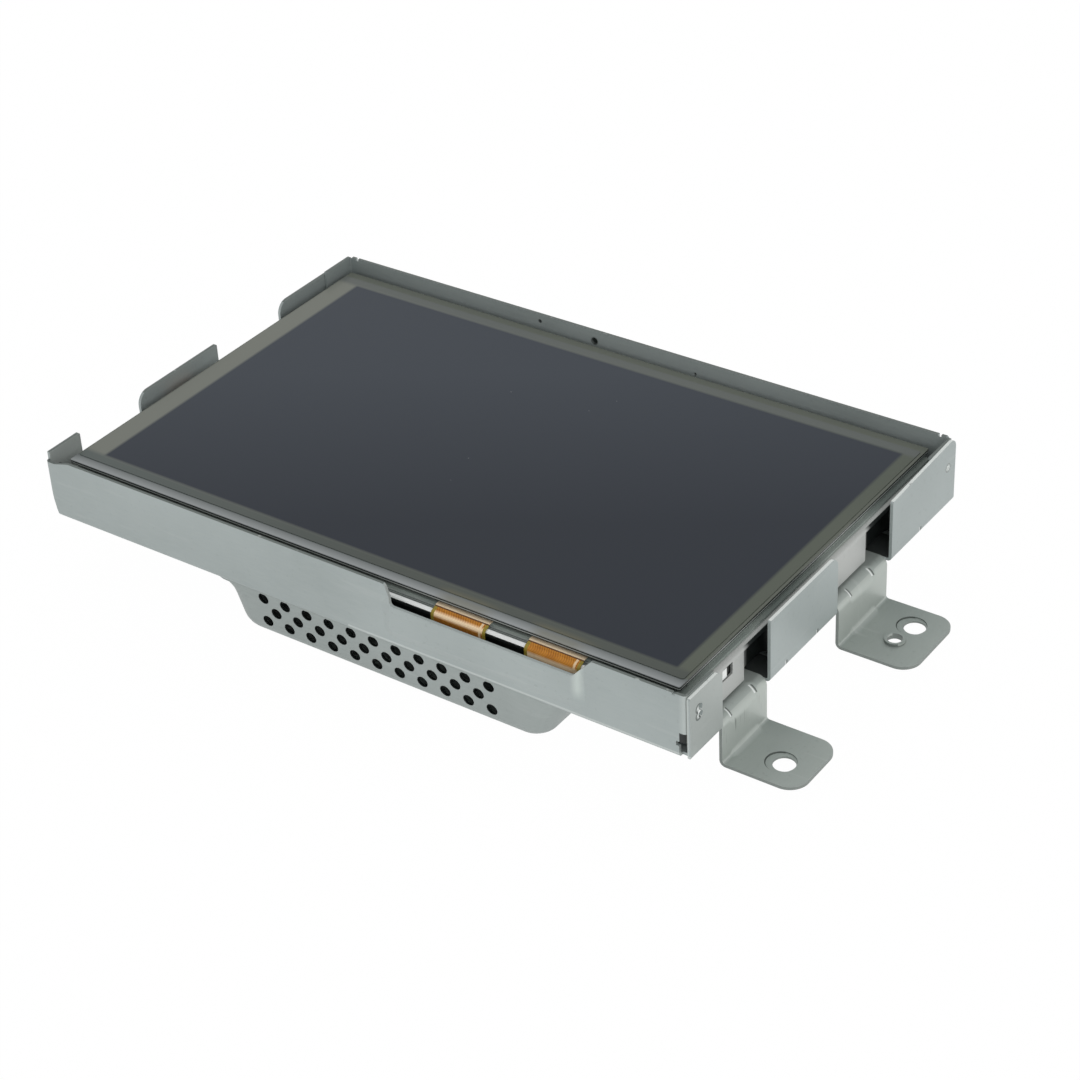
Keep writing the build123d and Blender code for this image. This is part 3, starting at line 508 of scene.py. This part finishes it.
# Small parts: one plain finish with a fine grain, for plastics, boards and fittings
def plainFinish(name, look):
    material = bpy.data.materials.new(name)
    tree = Tree(material)
    place = tree.place()
    grain = tree.noise(place, look.get("scale", 700.0), 3.0, 0.55)
    clouds = tree.noise(place, 45.0, 2.0, 0.5)
    colour = tree.mix(tree.between(clouds, 0.3, 0.7), look["dark"], look["light"])
    tree.surface({
        "Base Color": colour,
        "Metallic": look.get("metallic", 0.0),
        "Roughness": grain * 0.15 + look.get("rough", 0.5),
        "Normal": tree.bump(grain, look.get("relief", 0.08), 0.0002),
    })
    return material


partLooks = {
    "reflector_sheet": {"dark": shade(228, 228, 224), "light": shade(240, 240, 236), "rough": 0.35},
    "light_guide": {"dark": shade(208, 216, 214), "light": shade(222, 228, 226), "rough": 0.15},
    "diffuser_sheet": {"dark": shade(224, 224, 220), "light": shade(236, 236, 232), "rough": 0.6},
    "prism_sheet": {"dark": shade(206, 210, 212), "light": shade(222, 224, 226), "rough": 0.3},
    "led_strip": {"dark": shade(214, 214, 206), "light": shade(228, 228, 220), "rough": 0.4},
    "rear_polariser": {"dark": shade(40, 42, 44), "light": shade(48, 50, 52), "rough": 0.3},
    "front_polariser": {"dark": shade(30, 32, 35), "light": shade(38, 40, 43), "rough": 0.35},
    "touch_gasket": {"dark": shade(24, 24, 25), "light": shade(34, 34, 35), "rough": 0.85},
    "tft_glass": {"dark": shade(120, 130, 126), "light": shade(146, 154, 148), "rough": 0.12},
    "colour_filter_glass": {"dark": shade(112, 120, 116), "light": shade(138, 146, 140), "rough": 0.12},
    "driver_chips": {"dark": shade(44, 44, 46), "light": shade(56, 56, 58), "rough": 0.4},
    "source_board": {"dark": shade(26, 84, 52), "light": shade(36, 98, 62), "rough": 0.35},
    "panel_flex": {"dark": shade(176, 108, 42), "light": shade(194, 124, 52), "rough": 0.35},
    "panel_connector": {"dark": shade(222, 218, 204), "light": shade(232, 228, 216), "rough": 0.45},
    "touch_tail": {"dark": shade(176, 108, 42), "light": shade(194, 124, 52), "rough": 0.35},
    "touch_connector": {"dark": shade(222, 218, 204), "light": shade(232, 228, 216), "rough": 0.45},
    "main_board": {"dark": shade(24, 80, 50), "light": shade(34, 94, 60), "rough": 0.35},
    "board_standoffs": {"dark": shade(190, 176, 120), "light": shade(206, 192, 138), "metallic": 0.9,
                        "rough": 0.3},
    "video_processor": {"dark": shade(38, 38, 40), "light": shade(50, 50, 52), "rough": 0.5},
    "memory_chips": {"dark": shade(38, 38, 40), "light": shade(50, 50, 52), "rough": 0.5},
    "power_coil": {"dark": shade(58, 58, 60), "light": shade(72, 72, 74), "rough": 0.6},
    "capacitors": {"dark": shade(184, 186, 188), "light": shade(204, 206, 208), "metallic": 0.7,
                   "rough": 0.35},
    "harness_socket": {"dark": shade(34, 34, 36), "light": shade(46, 46, 48), "rough": 0.45},
    "socket_pins": {"dark": shade(196, 170, 96), "light": shade(214, 190, 118), "metallic": 0.95,
                    "rough": 0.25},
    "module_standoffs": {"dark": shade(150, 152, 150), "light": shade(172, 174, 172), "metallic": 0.9,
                         "rough": 0.3},
    "foam_strips": {"dark": shade(46, 46, 48), "light": shade(60, 60, 62), "rough": 0.9},
}
for name, look in partLooks.items():
    paintNode(name, plainFinish(name + "Finish", look))


# Moulded frame: pale, with a dark line along its sides and painted shade on a strip behind the window
# that the tapes cross
mouldLook = {
    "dark": shade(232, 235, 233),
    "light": shade(246, 248, 247),
    # Painted shade on the strip behind the window, and the dark line along the sides
    "shadowAndLineDark": shade(30, 33, 32),
    "frontDepth": 0.0045,                   # from the module's front face
    "sideInset": 0.0006,
    "sideReach": 0.0002,
}


def mouldFinish():
    look = mouldLook
    material = bpy.data.materials.new("mouldFinish")
    tree = Tree(material)
    place = tree.place()
    x, y = tree.axes(place)[:2]
    grain = tree.noise(place, 700.0, 3.0, 0.55)
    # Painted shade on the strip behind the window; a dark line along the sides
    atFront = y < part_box("lcd_chassis")[0][1] + look["frontDepth"]
    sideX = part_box("mould_frame")[1][0] - look["sideInset"]
    sides = x.maths("ABSOLUTE").near(sideX, look["sideReach"])
    pale = tree.mix(grain, look["dark"], look["light"])
    tree.surface({
        "Base Color": tree.mix((atFront + sides).bounded(), pale, look["shadowAndLineDark"]),
        "Roughness": grain * 0.15 + 0.45,
        "Normal": tree.bump(grain, 0.08, 0.0002),
    })
    return material


paintNode("mould_frame", mouldFinish())


# Touch panel: clear film over glass, grey border round the dark picture, with painted reflections on the
# picture and glass and painted light on the border
panelLook = {
    # Picture painted with a reflection, palest at the back left and darker to the front right
    "pictureFar": shade(57, 63, 71),        # at the back left, where it's palest
    "pictureNear": shade(41, 46, 54),
    "pictureFade": (-0.45, 0.35),           # from the back left to the front right
    # Each side of the border painted lighter or darker as the light falls on it
    "left": shade(113, 116, 109),
    "right": shade(80, 86, 77),
    "back": shade(89, 94, 92),
    "frontLeft": shade(85, 92, 90),
    "frontRight": shade(66, 72, 69),
    "frontMiddle": 0.01,                    # where the front's right colour is reached
    "corner": 0.0008,                       # half the step from one side's colour to the next
    "haze": shade(120, 122, 112),
    "bond": shade(108, 104, 82),            # of the tapes, seen through the border
    "bondOnFilm": {
        "left": (-0.002, 0.002),            # from the tape's left end
        "right": (-0.004, 0.003),           # from its right end
        "front": (-0.0032, -0.0012),        # from the picture's front edge
        "show": 0.55,
    },
    "bondOnGlass": {
        "left": (-0.001, 0.003),
        "right": (-0.004, 0.001),
        "front": (-0.0015, 0.0),            # from the film's front edge
        "show": 0.45,
    },
    "dust": shade(120, 124, 126),
    "dustScale": 90.0,
    "dustSize": 0.018,
    "soft": 0.0005,                         # half the soft step at the picture's edge
    "rough": 0.12,
    "specular": 0.28,
    # Bare glass margin painted lighter outwards at the front as a reflection, darker at the sides
    "marginInner": shade(104, 109, 109),    # bare glass beyond the film
    "marginOuter": shade(148, 152, 153),
    "marginSide": shade(93, 97, 89),
    "marginFade": 0.001,
    # Glass sides painted in shade, with a painted highlight line across them
    "edge": shade(24, 28, 27),
    "edgeGlintLine": shade(150, 154, 151),
    "edgeGlintPlace": (0.0004, 0.00016),     # height over the glass's underside, half width
    "clouds": shade(96, 102, 98),
}


# The tapes' bond shows faintly through the panel's border
def addBond(tree, colour, x, y, frontY, bond):
    for name in ("driver_tape_left", "driver_tape_right"):
        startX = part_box(name)[0][0]
        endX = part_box(name)[1][0]
        left = [startX + reach for reach in bond["left"]]
        right = [endX + reach for reach in bond["right"]]
        front = [frontY + reach for reach in bond["front"]]
        mask = tree.band(x, *left, *right) * (1 - tree.between(y, *front))
        colour = tree.mix(mask * bond["show"], colour, panelLook["bond"])
    return colour


def touchFilmFinish():
    look = panelLook
    material = bpy.data.materials.new("touchFilm")
    tree = Tree(material)
    place = tree.place()
    x, y = tree.axes(place)[:2]
    low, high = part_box("front_polariser")
    soft = look["soft"]
    corner = look["corner"]
    acrossX = tree.band(x, low[0] - soft, low[0] + soft, high[0] - soft, high[0] + soft)
    acrossY = tree.band(y, low[1] - soft, low[1] + soft, high[1] - soft, high[1] + soft)
    inPicture = acrossX * acrossY
    clouds = tree.noise(place, 9.0, 2.0, 0.5)
    haze = tree.noise(place, 1600.0, 2.0, 0.5)
    atBack = tree.between(y, high[1] - corner, high[1] + corner)
    atFront = 1 - tree.between(y, low[1] - corner, low[1] + corner)
    # Border sides painted lighter or darker as the light falls on them
    border = tree.mix(tree.between(x, low[0], high[0]), look["left"], look["right"])
    border = tree.mix(atBack, border, look["back"])
    frontFade = tree.between(x, low[0], look["frontMiddle"])
    border = tree.mix(atFront, border, tree.mix(frontFade, look["frontLeft"], look["frontRight"]))
    border = tree.mix(tree.between(clouds, 0.35, 0.65) * 0.15, border, look["haze"])
    border = addBond(tree, border, x, y, low[1], look["bondOnFilm"])
    # Painted reflection across the picture
    nearness = x / (high[0] - low[0]) - y / (high[1] - low[1])
    nearness = tree.between(nearness, *look["pictureFade"])
    picture = tree.mix(nearness, look["pictureFar"], look["pictureNear"])
    colour = tree.mix(inPicture, border, picture)
    dust = tree.cells(place, look["dustScale"]) < look["dustSize"]
    colour = tree.mix(dust * 0.5, colour, look["dust"])
    tree.surface({
        "Base Color": colour,
        "Roughness": clouds * 0.06 + look["rough"],
        "Specular IOR Level": look["specular"],
        "Normal": tree.bump(haze, 0.03, 0.0001),
    })
    return material


def glassFinish():
    look = panelLook
    material = bpy.data.materials.new("touchGlass")
    tree = Tree(material)
    place = tree.place()
    x, y, z = tree.axes(place)
    low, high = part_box("touch_glass")
    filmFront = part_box("touch_film")[0][1]
    clouds = tree.noise(place, 60.0, 2.0, 0.5)
    # Margin painted lighter outwards as a reflection
    outwards = 1 - tree.between(y, low[1], filmFront)
    pastFront = tree.between(y, filmFront, filmFront + look["marginFade"])
    margin = tree.mix(outwards, look["marginInner"], look["marginOuter"])
    margin = tree.mix(pastFront, margin, look["marginSide"])
    margin = addBond(tree, margin, x, y, filmFront, look["bondOnGlass"])
    # Painted shade on the glass's sides, with a painted highlight line
    rise, reach = look["edgeGlintPlace"]
    edge = tree.mix(z.near(low[2] + rise, reach), look["edge"], look["edgeGlintLine"])
    topFace = z > high[2] - 0.0002
    colour = tree.mix(topFace, edge, margin)
    tree.surface({
        "Base Color": tree.mix(clouds * 0.12, colour, look["clouds"]),
        "Roughness": clouds * 0.1 + 0.14,
        "Specular IOR Level": look["specular"],
        "Normal": tree.bump(clouds, 0.05, 0.0002),
    })
    return material


paintNode("touch_film", touchFilmFinish())
paintNode("touch_glass", glassFinish())


# Driver tapes: copper-coloured film with fine traces, pale where it lies on the glass, with a painted
# highlight along its curve and painted shade lower down
tapeLook = {
    "film": shade(190, 118, 26),
    "filmDark": shade(164, 92, 16),
    "trace": shade(238, 178, 74),
    "groove": shade(112, 58, 12),
    "start": shade(224, 204, 174),
    "startDepth": 0.0018,                   # from the lip to where the pale part starts
    "startLine": shade(96, 62, 34),
    "startLineWide": 0.00014,
    "end": shade(150, 132, 52),
    "endLeft": 0.0009,
    "endRight": 0.0008,
    "endStripe": shade(240, 216, 178),
    "endStripePlace": (0.0016, 0.00032),    # from the right end, half width
    # Painted highlight along the tape's curve
    "glow": shade(255, 230, 192),
    # Darker towards the bottom: painted shade where the tape goes down beside the wall
    "below": shade(140, 78, 34),
    "belowRange": (0.0250, 0.0262),
    "pitch": 0.0005,
    "slant": (0.6, 0.9),                    # of the traces, along Y and Z
    "highlightAxis": (0.446, 0.83),              # the curve faces the light along Y and Z
    "highlightPlaces": {"driver_tape_left": 0.0221, "driver_tape_right": 0.0209},
    "highlightReach": 0.0009,
    "specular": 0.35,
}


def tapeFinish(name):
    look = tapeLook
    material = bpy.data.materials.new(name + "Finish")
    tree = Tree(material)
    place = tree.place()
    x, y, z = tree.axes(place)
    low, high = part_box(name)
    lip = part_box("lcd_chassis")[0][1]
    slantY, slantZ = look["slant"]
    phase = (x + y * slantY + z * slantZ) * (2 * math.pi / look["pitch"])
    stripes = phase.maths("SINE") * 0.5 + 0.5
    clouds = tree.noise(place, 420.0, 2.0, 0.5)
    film = tree.mix(tree.between(clouds, 0.35, 0.65), look["filmDark"], look["film"])
    # Painted shade lower down the tape
    film = tree.mix(1 - tree.between(z, *look["belowRange"]), film, look["below"])
    # Painted highlight where the tape's curve faces the light
    axisY, axisZ = look["highlightAxis"]
    rise = z * axisZ + (y - lip) * axisY
    distance = (rise - look["highlightPlaces"][name]).maths("ABSOLUTE")
    glow = 1 - tree.between(distance, look["highlightReach"] * 0.3, look["highlightReach"])
    film = tree.mix(stripes * 0.4, film, look["trace"])
    film = tree.mix(glow * (stripes * 0.2 + 0.8), film, look["glow"])
    film = tree.mix((1 - stripes) ** 2.0 * (0.65 - glow * 0.5), film, look["groove"])
    inset, reach = look["endStripePlace"]
    film = tree.mix(x < low[0] + look["endLeft"], film, look["end"])
    film = tree.mix(x > high[0] - look["endRight"], film, look["end"])
    film = tree.mix(x.near(high[0] - inset, reach) * 0.8, film, look["endStripe"])
    start = lip + look["startDepth"]
    colour = tree.mix(tree.between(y, start, start + 0.0001), film, look["start"])
    colour = tree.mix(y.near(start - 0.00005, look["startLineWide"]), colour, look["startLine"])
    tree.surface({
        "Base Color": colour,
        "Roughness": clouds * 0.1 + 0.22,
        "Specular IOR Level": look["specular"],
        "Normal": tree.bump(stripes, 0.2, 0.0001),
    })
    return material


for name in ("driver_tape_left", "driver_tape_right"):
    paintNode(name, tapeFinish(name))
print("Module and boards painted")


# Fasteners, modelled once for each kind with the head at its seat, then copied to their places
screwLooks = {
    "cover_screws": {
        "points": (
            (-0.086, -0.055),
            (-0.086, 0.055),
            (0.086, -0.055),
            (0.086, 0.055),
            (-0.062, 0.006),
            (0.076, 0.006),
        ),
        "seat": 0.014,
        "headRadius": 0.00275,
        "headHeight": 0.002,
        "shankRadius": 0.0015,
        "shankLength": 0.003,
        "pitch": 0.0006,
    },
    "module_screws": {
        "points": ((-0.074, -0.042), (-0.074, 0.046), (0.074, -0.042), (0.074, 0.046)),
        "seat": 0.0148,
        "headRadius": 0.0024,
        "headHeight": 0.0014,
        "shankRadius": 0.00125,
        "shankLength": 0.0035,
        "pitch": 0.0005,
    },
    "board_screws": {
        "points": ((-0.02, -0.048), (-0.02, 0.02), (0.04, -0.048), (0.04, 0.02)),
        "seat": 0.0102,
        "headRadius": 0.00275,
        "headHeight": 0.002,
        "shankRadius": 0.0015,
        "shankLength": 0.0038,
        "pitch": 0.0006,
    },
}
rivetLook = {
    "points": ((0.0885, -0.04515), (0.0885, -0.03315), (0.0885, 0.0099), (0.0885, 0.0219)),
    "seat": 0.0164,
    "headRadius": 0.0032,
    "headHeight": 0.0009,
    "shankRadius": 0.002,
    "grip": 0.0016,
    "tailRadius": 0.0027,
    "tailHeight": 0.0007,
}
fastenerShape = {
    "sides": 24,
    "rim": 0.4,                             # upright part of a head, as a share of its height
    "crown": ((0.14, 0.5), (0.22, 0.34), (0.3, 0.16)),  # steps in radius and height, as shares
    "threadRoot": 0.84,                     # shares of the shank's radius
    "threadTip": 0.8,
    "recessDepth": 0.55,                    # share of the head's height
    "recessLength": 1.05,                   # shares of the head's radius
    "recessWidth": 0.24,
    "recessTaper": 0.5,
    "turnStep": 37.0,                       # degrees from one copy to the next
    "smoothAngle": 38,
}
zincLook = {
    "dark": shade(150, 152, 148),
    "light": shade(178, 180, 174),
    "metallic": 0.75,
    "rough": 0.28,
    "scale": 1400.0,
}


def pickFaces(piece, test):
    bpy.ops.object.mode_set(mode="EDIT")
    bpy.ops.mesh.select_mode(type="FACE")
    bpy.ops.mesh.select_all(action="DESELECT")
    bpy.ops.object.mode_set(mode="OBJECT")
    for face in piece.data.polygons:
        face.select = test(face.normal)
    bpy.ops.object.mode_set(mode="EDIT")


def facesUp(normal):
    return normal.z > 0.9


def facesDown(normal):
    return normal.z < -0.9


def pushFaces(step, scale=1.0):
    bpy.ops.mesh.extrude_region_move(TRANSFORM_OT_translate={"value": (0, 0, step)})
    bpy.ops.transform.resize(value=(scale, scale, 1), center_override=(0, 0, 0))


def startDisc(radius, depth, middle):
    bpy.ops.object.select_all(action="DESELECT")
    bpy.ops.mesh.primitive_cylinder_add(
        vertices=fastenerShape["sides"],
        radius=radius,
        depth=depth,
        location=(0, 0, middle),
    )
    bpy.ops.object.transform_apply(location=True, rotation=True, scale=True)
    return bpy.context.object


# Rounds a disc's face outwards in three steps
def crownFaces(radius, height):
    for inwards, outwards in fastenerShape["crown"]:
        bpy.ops.mesh.inset(thickness=radius * inwards, depth=height * outwards)


# Crossed recess: two tapered slots, cut one after the other
def cutRecess(piece, look):
    depth = look["headHeight"] * fastenerShape["recessDepth"]
    length = look["headRadius"] * fastenerShape["recessLength"]
    width = look["headRadius"] * fastenerShape["recessWidth"]
    taper = fastenerShape["recessTaper"]
    middle = depth / 2 - look["headHeight"] - 0.0001
    for turn in (0.0, 90.0):
        bpy.ops.object.select_all(action="DESELECT")
        bpy.ops.mesh.primitive_cube_add(size=1, location=(0, 0, middle))
        slot = bpy.context.object
        slot.scale = (length, width, depth)
        slot.rotation_euler = (0, 0, math.radians(turn))
        bpy.ops.object.transform_apply(location=True, rotation=True, scale=True)
        pickFaces(slot, facesUp)
        bpy.ops.transform.resize(value=(taper, taper, 1), center_override=(0, 0, 0))
        bpy.ops.object.mode_set(mode="OBJECT")
        cut = piece.modifiers.new("recess", "BOOLEAN")
        cut.operation = "DIFFERENCE"
        cut.solver = "EXACT"
        cut.object = slot
        bpy.context.view_layer.objects.active = piece
        bpy.ops.object.modifier_apply(modifier="recess")
        bpy.data.objects.remove(slot)


def smoothPiece(piece):
    bpy.ops.object.select_all(action="DESELECT")
    piece.select_set(True)
    bpy.context.view_layer.objects.active = piece
    bpy.ops.object.shade_smooth_by_angle(angle=math.radians(fastenerShape["smoothAngle"]))


def makeScrew(look):
    radius = look["headRadius"]
    height = look["headHeight"]
    rim = height * fastenerShape["rim"]
    piece = startDisc(radius, rim, -rim / 2)
    pickFaces(piece, facesDown)
    crownFaces(radius, height - rim)
    pickFaces(piece, facesUp)
    bpy.ops.mesh.inset(thickness=radius - look["shankRadius"], depth=0)
    root = fastenerShape["threadRoot"]
    turns = int(look["shankLength"] / look["pitch"])
    for turn in range(turns):
        pushFaces(look["pitch"] / 2, root)
        pushFaces(look["pitch"] / 2, 1 / root if turn < turns - 1 else fastenerShape["threadTip"])
    bpy.ops.object.mode_set(mode="OBJECT")
    cutRecess(piece, look)
    smoothPiece(piece)
    return piece


def makeRivet(look):
    radius = look["headRadius"]
    rim = look["headHeight"] * fastenerShape["rim"]
    piece = startDisc(radius, rim, rim / 2)
    pickFaces(piece, facesUp)
    crownFaces(radius, look["headHeight"] - rim)
    pickFaces(piece, facesDown)
    bpy.ops.mesh.inset(thickness=radius - look["shankRadius"], depth=0)
    pushFaces(-look["grip"])
    pushFaces(0, look["tailRadius"] / look["shankRadius"])
    pushFaces(-look["tailHeight"] * 0.5)
    crownFaces(look["tailRadius"], look["tailHeight"] * 0.5)
    bpy.ops.object.mode_set(mode="OBJECT")
    smoothPiece(piece)
    return piece


def copyAround(source, node, look, material):
    for index, (x, y) in enumerate(look["points"]):
        piece = source.copy()
        piece.data = source.data.copy()
        piece.name = node + "_" + str(index + 1)
        turn = Matrix.Rotation(math.radians(fastenerShape["turnStep"] * index), 4, "Z")
        piece.data.transform(Matrix.Translation((x, y, look["seat"])) @ turn)
        piece.data.materials.clear()
        piece.data.materials.append(material)
        bpy.context.scene.collection.objects.link(piece)
        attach(piece, "root")
        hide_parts(node)
    bpy.data.objects.remove(source)


zincFinish = plainFinish("zincFinish", zincLook)
for name, look in screwLooks.items():
    copyAround(makeScrew(look), name, look, zincFinish)
copyAround(makeRivet(rivetLook), "bracket_rivets", rivetLook, zincFinish)
print("Fasteners made")


# Camera at the photograph's place: angles in degrees, focal length for a 36 mm wide picture
cameraLook = {
    "azimuth": 36.8,
    "elevation": 33.9,
    "roll": -3.2,
    "place": (0.34952, -0.45182, 0.38708),
    "lens": 88.67,
}


def addCamera():
    azimuth = math.radians(cameraLook["azimuth"])
    elevation = math.radians(cameraLook["elevation"])
    backward = Vector((
        math.cos(elevation) * math.sin(azimuth),
        -math.cos(elevation) * math.cos(azimuth),
        math.sin(elevation),
    ))
    right = Vector((0, 0, 1)).cross(backward).normalized()
    upward = backward.cross(right)
    turn = Matrix((right, upward, backward)).transposed()
    turn = turn @ Matrix.Rotation(math.radians(cameraLook["roll"]), 3, "Z")
    data = bpy.data.cameras.new("photoCamera")
    data.lens = cameraLook["lens"]
    data.sensor_width = 36.0
    data.clip_end = 20.0
    camera = bpy.data.objects.new("photoCamera", data)
    bpy.context.scene.collection.objects.link(camera)
    camera.matrix_world = Matrix.Translation(cameraLook["place"]) @ turn.to_4x4()
    bpy.context.scene.camera = camera


addCamera()


# Studio: white floor, pale surroundings and two soft lamps
studioLook = {
    "floorSize": 6.0,
    "floor": (0.95, 0.95, 0.95, 1.0),
    "floorGlow": 0.99,
    "surround": 0.7,
    "ceiling": 0.46,
    "ceilingFrom": 0.1,
    "ceilingTo": 0.5,
    "lamps": (                              # place, size and power
        ((-0.5, 0.7, 1.1), 0.9, 4.0),
        ((1.0, -0.75, 0.7), 0.8, 5.0),
    ),
}


def addFloor():
    bpy.ops.object.select_all(action="DESELECT")
    bpy.ops.mesh.primitive_plane_add(size=studioLook["floorSize"], location=(0, 0, 0))
    floor = bpy.context.object
    floor.name = "studioFloor"
    material = bpy.data.materials.new("floorPaint")
    tree = Tree(material)
    rays = tree.graph.nodes.new("ShaderNodeLightPath")
    seen = Wire(tree, rays.outputs["Is Camera Ray"]) + Wire(tree, rays.outputs["Is Glossy Ray"])
    seen = (seen + Wire(tree, rays.outputs["Is Transmission Ray"])).bounded()
    matt = tree.add("ShaderNodeBsdfDiffuse", values={"Color": studioLook["floor"]})
    glow = tree.add("ShaderNodeEmission", values={"Color": (1, 1, 1, 1), "Strength": 1.0})
    share = seen * studioLook["floorGlow"]
    both = tree.add("ShaderNodeMixShader", values=[share, matt, glow])
    tree.add("ShaderNodeOutputMaterial", values={"Surface": both})
    floor.data.materials.append(material)


def addSurround():
    world = bpy.data.worlds.new("paleRoom")
    bpy.context.scene.world = world
    tree = Tree(world)
    rays = tree.graph.nodes.new("ShaderNodeLightPath")
    plain = Wire(tree, rays.outputs["Is Camera Ray"]) + Wire(tree, rays.outputs["Is Transmission Ray"])
    plain = plain.bounded()
    mirrored = Wire(tree, rays.outputs["Is Glossy Ray"]) * (1 - plain)
    upward = tree.axes(tree.add("ShaderNodeTexCoord", output="Generated"))[2]
    height = tree.between(upward, studioLook["ceilingFrom"], studioLook["ceilingTo"])
    shown = 1 - height * (1.0 - studioLook["ceiling"])
    level = studioLook["surround"] + plain * (1.0 - studioLook["surround"])
    level = level + mirrored * (shown - studioLook["surround"])
    glow = tree.add("ShaderNodeBackground", values={"Color": (1, 1, 1, 1), "Strength": level})
    tree.add("ShaderNodeOutputWorld", values={"Surface": glow})


def addLamps():
    for index, (place, size, power) in enumerate(studioLook["lamps"]):
        data = bpy.data.lights.new("softLamp%d" % index, "AREA")
        data.size = size
        data.energy = power
        lamp = bpy.data.objects.new(data.name, data)
        bpy.context.scene.collection.objects.link(lamp)
        lamp.visible_glossy = False
        turn = Vector(place).to_track_quat("Z", "Y").to_matrix().to_4x4()
        lamp.matrix_world = Matrix.Translation(place) @ turn


addFloor()
addSurround()
addLamps()
bpy.context.scene.view_settings.view_transform = "Standard"
print("Studio set")
